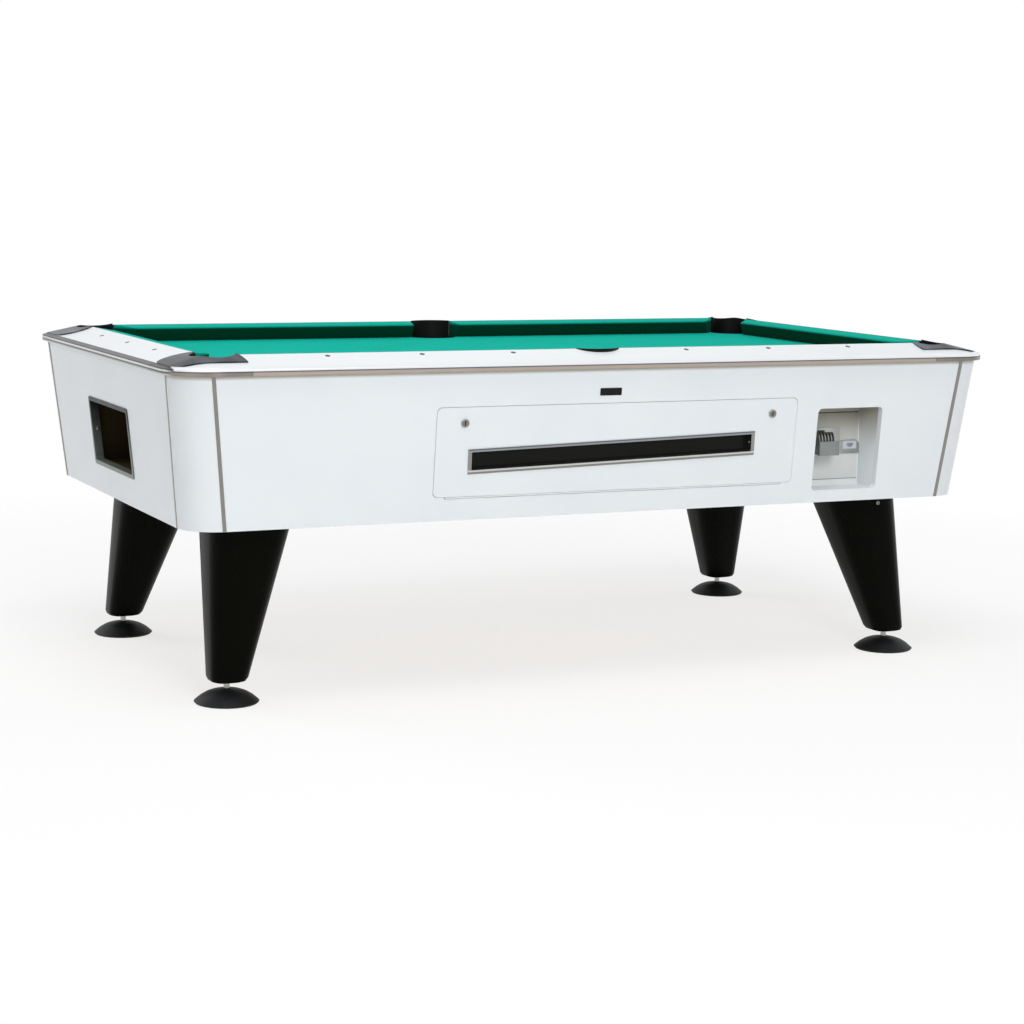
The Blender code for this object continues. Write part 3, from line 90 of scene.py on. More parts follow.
# %% [markdown]
# Every finish is a node tree on the Principled shader. One function turns a hex colour, as a paint shop
# would give it, into the linear numbers that the renderer wants, and one adds a node with its settings
# and links. Patterns read Object coordinates in metres, so a size in millimetres gives their scale.

# %% Colour and node helpers
FIRST = 6
SECOND = 7
COLOUR_MIX = {"out": 2, "data_type": "RGBA"}


def colour(code):
    """Linear colour from an sRGB hex code."""
    parts = [int(code[i:i + 2], 16) / 255 for i in (1, 3, 5)]
    linear = [c / 12.92 if c <= 0.04045 else ((c + 0.055) / 1.055) ** 2.4 for c in parts]
    return (*linear, 1.0)


def wire(tree, node, inputs):
    """Set a node's inputs: a socket is linked, a hex code becomes a colour, a number stays."""
    for key, value in inputs.items():
        if isinstance(value, bpy.types.NodeSocket):
            tree.links.new(value, node.inputs[key])
        elif isinstance(value, str):
            node.inputs[key].default_value = colour(value)
        else:
            node.inputs[key].default_value = value


def add(tree, kind, inputs, out=0, **settings):
    """Add a node with its own settings and its inputs; returns one of its outputs."""
    node = tree.nodes.new(kind)
    for name, value in settings.items():
        setattr(node, name, value)
    wire(tree, node, inputs)
    return node.outputs[out]


def start(name):
    """A new material: its tree, its shader and Object coordinates."""
    material = bpy.data.materials.new(name)
    material.use_nodes = True
    tree = material.node_tree
    return material, tree, tree.nodes["Principled BSDF"], add(tree, "ShaderNodeTexCoord", {}, "Object")


def per_mm(size):
    """Texture scale for a pattern whose grain is this many millimetres."""
    return 1000.0 / size


# %% [markdown]
# Four habits come back in the finishes: a colour that clouds between two tones, a grain that moves both
# the roughness and the surface, a change with height, and painted shade below an edge.


# %% Habits that finishes share
def two_tones(tree, place, size_mm, detail, dark, light):
    """A colour that clouds between two tones, in patches of this size."""
    cloud = add(tree, "ShaderNodeTexNoise", {"Vector": place, "Scale": per_mm(size_mm), "Detail": detail})
    return add(tree, "ShaderNodeMix", {"Factor": cloud, FIRST: dark, SECOND: light}, **COLOUR_MIX)


def worked(tree, shader, grain, rough, strength, distance, wear=None):
    """Let a grain raise the surface and move the roughness over a range, unless wear moves that."""
    low, high = rough
    roughness = add(tree, "ShaderNodeMapRange", {"Value": wear or grain, "To Min": low, "To Max": high})
    bump = add(tree, "ShaderNodeBump", {"Height": grain, "Strength": strength, "Distance": distance})
    wire(tree, shader, {"Roughness": roughness, "Normal": bump})


def climb(tree, place, low, high):
    """A grey value that goes from 0 at one height to 1 at another."""
    height = add(tree, "ShaderNodeSeparateXYZ", {0: place}, "Z")
    return add(tree, "ShaderNodeMapRange", {"Value": height, "From Min": low, "From Max": high})


def add_painted_shade(tree, place, tint, shade_below):
    """Painted shade under a lip: darken a tint by height, given the lip's height, how far below it the
    shade is full and ends, and the tone.
    """
    lip, full, end, tone = shade_below
    share = climb(tree, place, lip - end, lip - full)
    return add(tree, "ShaderNodeMix", {"Factor": share, FIRST: tint, SECOND: tone}, **COLOUR_MIX)


# %% [markdown]
# The cabinet is board with a white melamine laminate, pressed against a polished plate. That leaves a
# faint orange peel, a soft gloss and hardly any colour change, with a trace of grey where hands and
# cleaning cloths have been. A wide noise moves the colour a little, a fine one gives the peel. A rail's
# inner edge, where the cushion is glued on, has no laminate: it is stained dark, and shows at the pockets.
# Under the long trims a soft dark line on the panels is painted shade, and so is a warm grey in the
# upper part of the coin recess.

# %% White melamine laminate
# painted shade by height: a dark line on the panels under the long trims, and a warm grey in the upper coin
# recess
TRIM_SHADE = (CAB_TOP, 0.001, 0.0105, "#A8A596")
RECESS_SHADE = (recess_high.z, 0.024, 0.112, "#AFACA0")
EDGE_STAIN = "#0C1512"
EDGE_MARGIN = 0.0004
CLOUD_MM = 220
SMEAR_MM = 60
PEEL_MM = 2.5


def white_laminate(name, dark, light, raw_edge=None, shade_below=None):
    """raw_edge is the axis and place of an inner edge that is stained, not laminated."""
    material, tree, shader, place = start(name)
    tint = two_tones(tree, place, CLOUD_MM, 3.0, dark, light)
    if raw_edge:
        axis, edge = raw_edge
        across = add(tree, "ShaderNodeSeparateXYZ", {0: place}, axis)
        inset = add(tree, "ShaderNodeMath", {0: across}, operation="ABSOLUTE")
        inner = add(tree, "ShaderNodeMath", {0: inset, 1: edge + EDGE_MARGIN}, operation="LESS_THAN")
        tint = add(tree, "ShaderNodeMix", {"Factor": inner, FIRST: tint, SECOND: EDGE_STAIN}, **COLOUR_MIX)
    # painted shade below a lip, by height
    if shade_below:
        tint = add_painted_shade(tree, place, tint, shade_below)
    smear = add(tree, "ShaderNodeTexNoise", {"Vector": place, "Scale": per_mm(SMEAR_MM), "Detail": 5.0})
    peel = add(tree, "ShaderNodeTexNoise", {"Vector": place, "Scale": per_mm(PEEL_MM), "Detail": 2.0})
    wire(tree, shader, {"Base Color": tint, "IOR": 1.5, "Specular IOR Level": 0.3})
    worked(tree, shader, peel, (0.28, 0.40), 0.03, 0.0005, smear)
    return material


LAMINATE = white_laminate("white_melamine_laminate", "#DDE3E7", "#E7EBEE")
# the panels' laminate with painted shade under the trims, and the recess laminate with painted shade in its
# upper part
SHADED_LAMINATE = white_laminate("melamine_laminate_with_painted_shade", "#DDE3E7", "#E7EBEE", shade_below=TRIM_SHADE)
SHADED_RECESS_LAMINATE = white_laminate("pale_melamine_laminate_with_painted_shade", "#E8EDEF", "#F0F4F6", shade_below=RECESS_SHADE)
LONG_RAIL = white_laminate("white_laminate_long_rail", "#DFE4E7", "#E8ECEE", ("Y", INNER_Y))
END_RAIL = white_laminate("white_laminate_end_rail", "#DFE4E7", "#E8ECEE", ("X", INNER_X))

# %% [markdown]
# The joint strips are extruded aluminium. The die leaves fine lines along the length, so the noise is
# stretched along the piece: along Z on these upright strips, along X or Y on the trims that follow.

# %% Extruded aluminium
LINE_MM = 1.2
ALONG_X = (0.02, 1.0, 1.0)
ALONG_Y = (1.0, 0.02, 1.0)
ALONG_Z = (1.0, 1.0, 0.02)


def drawn_lines(tree, place, stretch):
    """Fine lines along a piece, as a grey value."""
    drawn = add(tree, "ShaderNodeMapping", {"Vector": place, "Scale": stretch})
    return add(tree, "ShaderNodeTexNoise", {"Vector": drawn, "Scale": per_mm(LINE_MM), "Detail": 3.0})


def extruded_aluminium():
    material, tree, shader, place = start("extruded_aluminium_strip")
    lines = drawn_lines(tree, place, ALONG_Z)
    tint = add(tree, "ShaderNodeMix", {"Factor": lines, FIRST: "#7F7E7A", SECOND: "#98968F"}, **COLOUR_MIX)
    wire(tree, shader, {"Base Color": tint, "Metallic": 1.0})
    worked(tree, shader, lines, (0.26, 0.42), 0.05, 0.0003)
    return material


STRIP_METAL = extruded_aluminium()

# %% [markdown]
# The frame of the ball return is aluminium too, dark along its top and paler towards the bottom. A ramp
# on the height mixes the two tones.


# %% Worn aluminium of the ball return
def worn_frame():
    material, tree, shader, place = start("worn_aluminium_frame")
    low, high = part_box("ball_return_frame")
    wear = climb(tree, place, low.z, high.z)
    smear = add(tree, "ShaderNodeTexNoise", {"Vector": place, "Scale": per_mm(12), "Detail": 4.0})
    pale = add(tree, "ShaderNodeMix", {"Factor": smear, FIRST: "#6E7570", SECOND: "#8A908A"}, **COLOUR_MIX)
    dark = add(tree, "ShaderNodeMix", {"Factor": smear, FIRST: "#0E1615", SECOND: "#1A2422"}, **COLOUR_MIX)
    tint = add(tree, "ShaderNodeMix", {"Factor": wear, FIRST: pale, SECOND: dark}, **COLOUR_MIX)
    scratch = add(tree, "ShaderNodeTexNoise", {"Vector": place, "Scale": per_mm(LINE_MM), "Detail": 3.0})
    wire(tree, shader, {"Base Color": tint, "Metallic": 0.5, "Specular IOR Level": 0.2})
    worked(tree, shader, scratch, (0.3, 0.5), 0.05, 0.0003, smear)
    return material


RETURN_METAL = worn_frame()

# %% [markdown]
# The edge trim is an angle of polished aluminium, and the corner castings carry it round the corners. A
# polished edge shows its surroundings in thin lines: bright where it mirrors the sky, dark at the turn of
# the edge, beige where it mirrors the ground. The studio is white all round and would give none of that,
# so the lines are put in by height above the cabinet's top: a list of heights and tones, lowest first.
# The window frame has such lines too. It slopes, so its lines climb along X.

# %% Polished trim
LINE_START = 0.0076
FLANGE_START = 0.0104


def banded(tree, place, lines, bands, rise=0.0):
    """Tones by height: a band is its start above the cabinet's top and two tones. rise is the climb
    of the bands for each metre along X."""
    level = {0: place, 1: (-rise, 0.0, 1.0)}
    height = add(tree, "ShaderNodeVectorMath", level, "Value", operation="DOT_PRODUCT")
    tint = None
    for begin, dark, light in bands:
        tone = add(tree, "ShaderNodeMix", {"Factor": lines, FIRST: dark, SECOND: light}, **COLOUR_MIX)
        if tint:
            above = add(tree, "ShaderNodeMath", {0: height, 1: CAB_TOP + begin}, operation="GREATER_THAN")
            tone = add(tree, "ShaderNodeMix", {"Factor": above, FIRST: tint, SECOND: tone}, **COLOUR_MIX)
        tint = tone
    return tint


def polished_trim(name, stretch, bands, metallic=1.0, shine=0.5, rise=0.0):
    material, tree, shader, place = start(name)
    lines = drawn_lines(tree, place, stretch)
    tint = banded(tree, place, lines, bands, rise)
    wire(tree, shader, {"Base Color": tint, "Metallic": metallic, "Specular IOR Level": shine})
    worked(tree, shader, lines, (0.24, 0.40), 0.05, 0.0003)
    return material


LONG_BANDS = (
    (0.0, "#A5978B", "#BEAFA3"),
    (LINE_START, "#5A6070", "#6E7586"),
    (FLANGE_START, "#E4E6E8", "#EEF0F1"),
)
END_BANDS = (
    (0.0, "#CED4D8", "#D8DDE0"),
    (0.0020, "#A3A7A2", "#AFB3AE"),
    (0.0042, "#5E5F59", "#70716B"),
    (0.0078, "#D8D8D4", "#E8E8E5"),
    (0.0122, "#36373E", "#484A52"),
)
TRIM_LONG = polished_trim("polished_aluminium_long", ALONG_X, LONG_BANDS)
TRIM_END = polished_trim("polished_aluminium_end", ALONG_Y, END_BANDS, metallic=0.15, shine=0.1)

# %% Polished window frame
WINDOW_RISE = math.tan(math.radians(1.5))
window_low, window_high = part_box("window_frame")
window_middle = (window_low + window_high) / 2
window_level = window_middle.z - window_middle.x * WINDOW_RISE - CAB_TOP
window_half = (window_high.z - window_low.z - (window_high.x - window_low.x) * WINDOW_RISE) / 2
SILL = window_level - window_half
HEAD = window_level + window_half
WINDOW_BANDS = (
    (SILL, "#7C7C76", "#92928B"),
    (SILL + 0.0048, "#C0C3BF", "#D2D5D1"),
    (SILL + 0.0088, "#86878B", "#A09E9A"),
    (HEAD - 0.0088, "#8E9292", "#A2A6A6"),
    (HEAD - 0.0052, "#5C616A", "#70757E"),
    (HEAD - 0.0018, "#CDD1D5", "#DEE2E5"),
)
WINDOW_METAL = polished_trim("polished_aluminium_window", ALONG_X, WINDOW_BANDS, rise=WINDOW_RISE)

# %% [markdown]
# A casting's top plate is dark and satin. Its paler streaks are painted reflections: a stretched noise,
# pushed hard so that most of the plate stays dark. Its edge has painted reflection lines by height, like
# the trim. Round the corner the lines of the long side give way to those of the end, where the edge
# mirrors other things.

# %% Cast corners
PLATE_START = 0.0187
FACE_CHANGE = (0.016, 0.004)
FLANGE_CHANGE = (0.018, 0.015)
FLANGE_SIDE = ("#E8EAEC", "#F2F4F5")
FLANGE_END = ("#2F2F35", "#54575F")
REFLECTION_STRETCH = (1.0, 0.3, 1.0)


def end_share(tree, place, change):
    """0 on the long side, 1 at the end: change is where it starts and stops, in from the end."""
    begin, stop = change
    across = add(tree, "ShaderNodeSeparateXYZ", {0: place}, "X")
    reach = add(tree, "ShaderNodeMath", {0: across}, operation="ABSOLUTE")
    limits = {"From Min": OUTER_X - begin, "From Max": OUTER_X - stop}
    return add(tree, "ShaderNodeMapRange", {"Value": reach, **limits})


def cast_metal():
    material, tree, shader, place = start("polished_cast_aluminium")
    # painted reflection: paler streaks on the plate and reflection lines on the edge
    reflection_place = add(tree, "ShaderNodeMapping", {"Vector": place, "Scale": REFLECTION_STRETCH})
    reflection_noise = add(tree, "ShaderNodeTexNoise", {"Vector": reflection_place, "Scale": per_mm(55), "Detail": 1.0})
    painted_reflection = add(tree, "ShaderNodeMapRange", {"Value": reflection_noise, "From Min": 0.45, "From Max": 0.8})
    on_end = end_share(tree, place, FLANGE_CHANGE)
    flange = [
        add(tree, "ShaderNodeMix", {"Factor": on_end, FIRST: side, SECOND: end}, **COLOUR_MIX)
        for side, end in zip(FLANGE_SIDE, FLANGE_END)
    ]
    long_bands = (
        (0.0, "#857D75", "#A3988E"),
        (LINE_START, "#505462", "#6A6F7E"),
        (FLANGE_START, *flange),
        (PLATE_START, "#24262D", "#565B68"),
    )
    end_bands = (*END_BANDS[:-1], (END_BANDS[-1][0], *FLANGE_END))
    long_tint = banded(tree, place, painted_reflection, long_bands)
    end_tint = banded(tree, place, painted_reflection, end_bands)
    at_end = end_share(tree, place, FACE_CHANGE)
    tint = add(tree, "ShaderNodeMix", {"Factor": at_end, FIRST: long_tint, SECOND: end_tint}, **COLOUR_MIX)
    grain = add(tree, "ShaderNodeTexNoise", {"Vector": place, "Scale": per_mm(0.9), "Detail": 4.0})
    wire(tree, shader, {"Base Color": tint, "Metallic": 0.2, "Specular IOR Level": 0.1})
    worked(tree, shader, grain, (0.26, 0.42), 0.10, 0.0004)
    return material


CASTING = cast_metal()

# %% [markdown]
# Table cloth is a wool twill, raised to a short nap and brushed one way. Close by, it shows a fine weave
# under fuzz; from a step away it is matt, with a light bloom at low angles, which the sheen gives. The
# real threads are about 0.5 mm apart, too fine for this camera, so the weave is drawn at 3 mm. On the
# cushions the cloth below the nose, which faces down and in, has a low tone: painted shade.

# %% Green wool cloth
NOSE_RISE = 0.0345
NOSE_BLUR = 0.003
TWILL_TURN = math.radians(63)
WEAVE_MM = 3.0
FUZZ_MM = 1.5


def wool_cloth(name, dark, light, shade_tone=None):
    material, tree, shader, place = start(name)
    tint = two_tones(tree, place, 90, 6.0, dark, light)
    # painted shade: a low tone on the cloth below the nose
    if shade_tone:
        nose = BED_TOP + NOSE_RISE
        above = climb(tree, place, nose - NOSE_BLUR, nose + NOSE_BLUR)
        tint = add(tree, "ShaderNodeMix", {"Factor": above, FIRST: shade_tone, SECOND: tint}, **COLOUR_MIX)
    fuzz = add(tree, "ShaderNodeTexNoise", {"Vector": place, "Scale": per_mm(FUZZ_MM), "Detail": 3.0})
    gain = add(tree, "ShaderNodeMapRange", {"Value": fuzz, "To Min": 0.9, "To Max": 1.08})
    shade = add(tree, "ShaderNodeVectorMath", {0: tint, "Scale": gain}, operation="SCALE")
    turned = add(tree, "ShaderNodeMapping", {"Vector": place, "Rotation": (0.0, 0.0, TWILL_TURN)})
    threads = {"Vector": turned, "Scale": per_mm(WEAVE_MM) / math.tau, "Distortion": 1.5}
    weave = add(tree, "ShaderNodeTexWave", threads, "Fac")
    nap = add(tree, "ShaderNodeMath", {0: weave, 1: fuzz}, operation="ADD")
    bump = add(tree, "ShaderNodeBump", {"Height": nap, "Strength": 0.2, "Distance": 0.0006})
    wire(tree, shader, {"Base Color": shade, "Normal": bump, "Roughness": 0.95, "Specular IOR Level": 0.05})
    wire(tree, shader, {"Sheen Weight": 0.02, "Sheen Roughness": 0.5, "Sheen Tint": "#7FE0CC"})
    return material


CLOTH = wool_cloth("napped_wool_cloth", "#00AE9A", "#08B8A5")
# the cushion cloth has painted shade below the nose
SHADED_CUSHION_CLOTH = wool_cloth("napped_wool_cushion_cloth_with_painted_shade", "#00AE9A", "#08B8A5", "#003F2C")

# %% [markdown]
# Several finishes share one recipe: a base colour that clouds a little between two tones, a roughness
# that moves with a finer noise, and a grain in the surface. Moulded plastic, lacquer, plated steel, slate
# and acrylic differ only in those numbers, so one function makes them.

# %% Plain finishes that share a recipe
CLOUD_GRAINS = 25
GRAIN_DEPTH = 0.0004
# painted shade: grey in the upper part of the coin recess, on the plate behind the slide
PLATE_SHADE = (recess_high.z, 0.028, 0.130, "#9B998A")


def plain(name, dark, light, rough, grain_mm, strength, metallic=0.0, shine=0.5, shade_below=None):
    """rough is the range of roughness, grain_mm the size of the grain and strength its bump."""
    material, tree, shader, place = start(name)
    tint = two_tones(tree, place, grain_mm * CLOUD_GRAINS, 3.0, dark, light)
    # painted shade below a lip, by height
    if shade_below:
        tint = add_painted_shade(tree, place, tint, shade_below)
    grain = add(tree, "ShaderNodeTexNoise", {"Vector": place, "Scale": per_mm(grain_mm), "Detail": 4.0})
    wire(tree, shader, {"Base Color": tint, "Metallic": metallic, "Specular IOR Level": shine})
    worked(tree, shader, grain, rough, strength, GRAIN_DEPTH)
    return material


# moulded ABS: fine spark texture, soft highlights; the same black is painted shade inside the lock keyways
BLACK_ABS_AND_KEYWAY_SHADE = plain("moulded_black_abs_and_keyway_shade", "#050506", "#0B0B0C", (0.45, 0.6), 0.8, 0.12, shine=0.12)
# brown-black sheet that lines the ball box
LINING = plain("dark_sheet_lining", "#332B18", "#3E351F", (0.4, 0.55), 1.5, 0.06, shine=0.15)
# brushed-on lacquer: a warm black that only glows where light grazes it
LACQUER = plain("black_satin_lacquer", "#030401", "#070803", (0.24, 0.34), 4.0, 0.03, shine=0.04)
# zinc plate, dulled: grey with a faint spangle
ZINC = plain("dull_zinc_plate", "#767B79", "#969A98", (0.3, 0.48), 1.5, 0.05, metallic=1.0)
# fresh zinc plate: paler, with the same spangle
PALE_ZINC = plain("fresh_zinc_plate", "#A3A6A1", "#BEC0BB", (0.3, 0.48), 1.5, 0.05, metallic=1.0)
# bright turned steel: smooth, with small sharp highlights
STEEL = plain("bright_steel", "#B6B6B2", "#CBCBC8", (0.18, 0.3), 0.6, 0.04, metallic=1.0)
# nickel-plated lock plug, dulled by keys
PLUG = plain("worn_nickel_plug", "#716F69", "#8E8B84", (0.3, 0.45), 0.5, 0.06, metallic=1.0)
# smoked acrylic in front of a dark runway: nearly black, with a clear gloss
ACRYLIC = plain("smoked_acrylic", "#0D0F0C", "#161814", (0.08, 0.14), 6.0, 0.01, shine=0.1)
# honed slate: dark grey, matt, with a fine grit
SLATE = plain("honed_slate", "#3A3F43", "#4C5257", (0.55, 0.75), 1.2, 0.3)
# pale enamel, stoved on a thin plate: even, with a soft gloss
ENAMEL = plain("pale_enamel", "#C9CBD6", "#D6D8E0", (0.3, 0.4), 0.8, 0.04)
# the same enamel in mid grey
GREY_ENAMEL = plain("grey_enamel", "#868C96", "#969CA5", (0.3, 0.4), 0.8, 0.04)
# cream enamel of the plate behind the coin slide: pale and a little warm, with painted shade that greys its
# top
SHADED_CREAM_ENAMEL = plain("cream_enamel_with_painted_shade", "#D2D6D4", "#DCDFDC", (0.35, 0.5), 1.2, 0.03, shade_below=PLATE_SHADE)
# black of two thin bars that stand for shadow lines at the recess plate's edges: painted shade, matt
SHADOW_LINE_BLACK = plain("black_painted_shadow_line", "#30302A", "#3C3C36", (0.6, 0.75), 0.8, 0.08, shine=0.2)
# white paint over a steel hinge: satin
WHITE_PAINT = plain("white_paint_on_steel", "#DDE2E5", "#E6EAEC", (0.35, 0.5), 0.8, 0.05)
# anodised plate, dark and satin
DARK_PLATE = plain("black_anodised_plate", "#0D0F10", "#15181A", (0.4, 0.55), 0.7, 0.05, shine=0.15)
# dark filler of the dots in the rails: satin
SIGHT_FILL = plain("dark_sight_filler", "#2A2E38", "#3A3F4A", (0.35, 0.5), 0.6, 0.05)

# %% [markdown]
# The hidden boards are birch plywood. Its grain is long and wavy, which a wave texture with noise gives.

# %% Birch plywood
WOOD_STRETCH = (0.08, 1.0, 1.0)
WOOD_MM = 14


def plywood():
    material, tree, shader, place = start("birch_plywood")
    along = add(tree, "ShaderNodeMapping", {"Vector": place, "Scale": WOOD_STRETCH})
    wave = {"Vector": along, "Scale": per_mm(WOOD_MM) / math.tau, "Distortion": 6.0, "Detail": 4.0}
    grain = add(tree, "ShaderNodeTexWave", wave, "Fac", bands_direction="Y")
    tint = add(tree, "ShaderNodeMix", {"Factor": grain, FIRST: "#B58F5E", SECOND: "#CBA878"}, **COLOUR_MIX)
    bump = add(tree, "ShaderNodeBump", {"Height": grain, "Strength": 0.1, "Distance": 0.0005})
    wire(tree, shader, {"Base Color": tint, "Normal": bump, "Roughness": 0.65})
    return material


PLYWOOD = plywood()

# %% [markdown]
# A levelling foot is a nylon pad moulded on a steel stem, one node here. Its material switches from nylon
# to steel above the pad's boss, by height alone, because all four feet stand on the same floor.

# %% Nylon pad with a steel stem
STEM_START = 0.0335


def foot_finish():
    material, tree, shader, place = start("nylon_pad_on_steel_stem")
    height = add(tree, "ShaderNodeSeparateXYZ", {0: place}, "Z")
    stem = add(tree, "ShaderNodeMath", {0: height, 1: STEM_START}, operation="GREATER_THAN")
    tint = add(tree, "ShaderNodeMix", {"Factor": stem, FIRST: "#0C1012", SECOND: "#A9AAA4"}, **COLOUR_MIX)
    grain = add(tree, "ShaderNodeTexNoise", {"Vector": place, "Scale": per_mm(0.8), "Detail": 4.0})
    wire(tree, shader, {"Base Color": tint, "Metallic": stem, "Specular IOR Level": 0.2})
    worked(tree, shader, grain, (0.55, 0.28), 0.12, GRAIN_DEPTH, stem)
    return material


FOOT = foot_finish()

# %% [markdown]
# Each imported node gets its finish by name. The longest matching word wins, so that an end panel has plain
# laminate while the other panels have the one with painted shade under the trims.

# %% Give the imported nodes their finishes
FINISHES = {
    "panel": SHADED_LAMINATE,
    "end_panel": LAMINATE,
    "bottom_panel": PLYWOOD,
    "rail": LONG_RAIL,
    "left_rail": END_RAIL,
    "right_rail": END_RAIL,
    "ball_door": LAMINATE,
    "coin_recess": SHADED_RECESS_LAMINATE,
    "edge_trim": TRIM_LONG,
    "left_edge_trim": TRIM_END,
    "right_edge_trim": TRIM_END,
    "corner_casting": CASTING,
    "cushion": SHADED_CUSHION_CLOTH,
    "bed_cloth": CLOTH,
    "slate_bed": SLATE,
    "bed_frame": PLYWOOD,
    "ball_ramp": PLYWOOD,
    "ball_runway": PLYWOOD,
    "ball_box": LINING,
    "pocket_liner": BLACK_ABS_AND_KEYWAY_SHADE,
    "leg": LACQUER,
    "levelling_foot": FOOT,
    "lock": STEEL,
    "coin_chute": PALE_ZINC,
    "coin_slide": ZINC,
    "cash_box": ZINC,
    "hinge": WHITE_PAINT,
    "release_shaft": STEEL,
    "window_frame": WINDOW_METAL,
    "window_pane": ACRYLIC,
    "ball_return_frame": RETURN_METAL,
}
for name, thing in nodes.items():
    matches = [word for word in FINISHES if word in name]
    thing.data.materials.clear()
    thing.data.materials.append(FINISHES[max(matches, key=len)])
print("finishes given to", len(nodes), "nodes")

# %% [markdown]
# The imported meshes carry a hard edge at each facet. Where the real surface is round, two modifiers mend
# that without moving a point: a weld joins the facets' shared corners, and an edge split keeps the edges
# that are truly sharp.

# %% Smooth the round nodes
ROUND_WORDS = ("leg", "corner_panel", "corner_casting", "pocket_liner", "levelling_foot", "lock", "shaft")
SHARP_ANGLE = math.radians(30)
WELD_REACH = 1e-5
round_nodes = [thing for name, thing in nodes.items() if any(word in name for word in ROUND_WORDS)]
for thing in round_nodes:
    thing.data.shade_smooth()
    thing.modifiers.new("weld", "WELD").merge_threshold = WELD_REACH
    thing.modifiers.new("sharp", "EDGE_SPLIT").split_angle = SHARP_ANGLE
print("round nodes:", len(round_nodes))

# %% [markdown]
# New pieces are modelled as by hand. A few habits repeat: deselect everything, add a primitive, shape it
# in edit mode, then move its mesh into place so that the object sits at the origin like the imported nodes.
# Edges and faces are picked by a test on their middle and their direction.

# %% Habits for modelling by hand
NEARLY = 0.9
LEVEL = 0.1
TINY = 1e-6


def deselect():
    if bpy.context.object and bpy.context.object.mode != "OBJECT":
        bpy.ops.object.mode_set(mode="OBJECT")
    bpy.ops.object.select_all(action="DESELECT")


def pick(piece):
    """Make one piece the selected and active one, in object mode."""
    deselect()
    bpy.context.view_layer.objects.active = piece
    piece.select_set(True)


def cube(name, low, high):
    """A box primitive between two corners, active and selected."""
    deselect()
    low = Vector(low)
    high = Vector(high)
    bpy.ops.mesh.primitive_cube_add(size=1.0, location=(low + high) / 2, scale=high - low)
    piece = bpy.context.object
    piece.name = name
    bpy.ops.object.transform_apply(location=True, rotation=True, scale=True)
    return piece


def disc(name, radius, depth, sides):
    """A cylinder primitive that stands on Z at the origin, active and selected."""
    deselect()
    bpy.ops.mesh.primitive_cylinder_add(vertices=sides, radius=radius, depth=depth)
    piece = bpy.context.object
    piece.name = name
    return piece


def choose(piece, test, kind="EDGE"):
    """In edit mode, select the edges or faces whose middle and direction pass a test."""
    bpy.ops.object.mode_set(mode="EDIT")
    bpy.ops.mesh.select_mode(type=kind)
    bpy.ops.mesh.select_all(action="DESELECT")
    bm = bmesh.from_edit_mesh(piece.data)
    for item in bm.edges if kind == "EDGE" else bm.faces:
        if kind == "EDGE":
            middle = (item.verts[0].co + item.verts[1].co) / 2
            way = (item.verts[1].co - item.verts[0].co).normalized()
        else:
            middle = item.calc_center_median()
            way = item.normal
        item.select_set(bool(test(middle, way)))
    bm.select_flush_mode()
    bmesh.update_edit_mesh(piece.data)


def ease(piece, test, width, steps):
    """Round the edges that pass a test with a bevel."""
    choose(piece, test)
    bpy.ops.mesh.bevel(offset=width, segments=steps, affect="EDGES")


def plate_blank(name, low, high, corner, steps=3):
    """A box that faces -Y, with its four corners rounded."""
    piece = cube(name, low, high)
    ease(piece, lambda at, way: abs(way.y) > NEARLY, corner, steps)
    return piece


def saw(point, normal):
    """Cut the whole active mesh by a plane and drop what is in front of it."""
    bpy.ops.mesh.select_all(action="SELECT")
    bpy.ops.mesh.bisect(plane_co=point, plane_no=normal, use_fill=True, clear_outer=True)


def carve(piece, cutter):
    """Take a cutter out of a piece with a Boolean, and throw the cutter away."""
    pick(piece)
    step = piece.modifiers.new("carve", "BOOLEAN")
    step.object = cutter
    step.operation = "DIFFERENCE"
    bpy.ops.object.modifier_apply(modifier=step.name)
    bpy.data.objects.remove(cutter, do_unlink=True)


# %% [markdown]
# A shaped piece is then put in its place and dressed, and copies of it are set or mirrored.


# %% Habits for placing and dressing
def settle(piece, matrix):
    """Move a piece's mesh, so that the object itself stays at the origin."""
    deselect()
    piece.data.transform(matrix)
    piece.data.update()
    return piece


def facing(point, normal):
    """A place on a surface, with local Z along the surface's outward normal."""
    return Matrix.Translation(point) @ Vector(normal).to_track_quat("Z", "Y").to_matrix().to_4x4()


def dress(piece, material, body, angle=35):
    """Finish a piece: material, smooth shading by angle, and the body that it rides on."""
    pick(piece)
    bpy.ops.object.shade_smooth_by_angle(angle=math.radians(angle))
    piece.data.materials.clear()
    piece.data.materials.append(material)
    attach(piece, body)
    return piece


def twin(piece, name):
    """A copy with its own mesh."""
    deselect()
    copy = piece.copy()
    copy.data = piece.data.copy()
    copy.name = name
    bpy.context.scene.collection.objects.link(copy)
    return copy


def mirrored(piece, name, sx, sy):
    """A copy on the other side of the table's middle planes, with its faces turned right side out."""
    copy = settle(twin(piece, name), Matrix.Diagonal((sx, sy, 1, 1)))
    if sx * sy < 0:
        copy.data.flip_normals()
    return copy


# %% [markdown]
# A cushion is a strip of rubber with a nose, glued to the rail and wrapped in the same cloth as the bed.
# It starts as a box along the rail. Two bisects saw the nose, one from above and one from below, two more
# cut the ends back at the pockets, and a bevel rounds the nose and softens the wrapped edges.

# %% Cloth-covered cushions
FOOT_DEPTH = 0.024
NOSE_ROUND = 0.0045
NOSE_REACH = 0.0005
WRAP_ROUND = 0.0015
WRAP_REACH = 0.002
CORNER_CUT = 1.0
SIDE_CUT = 0.21


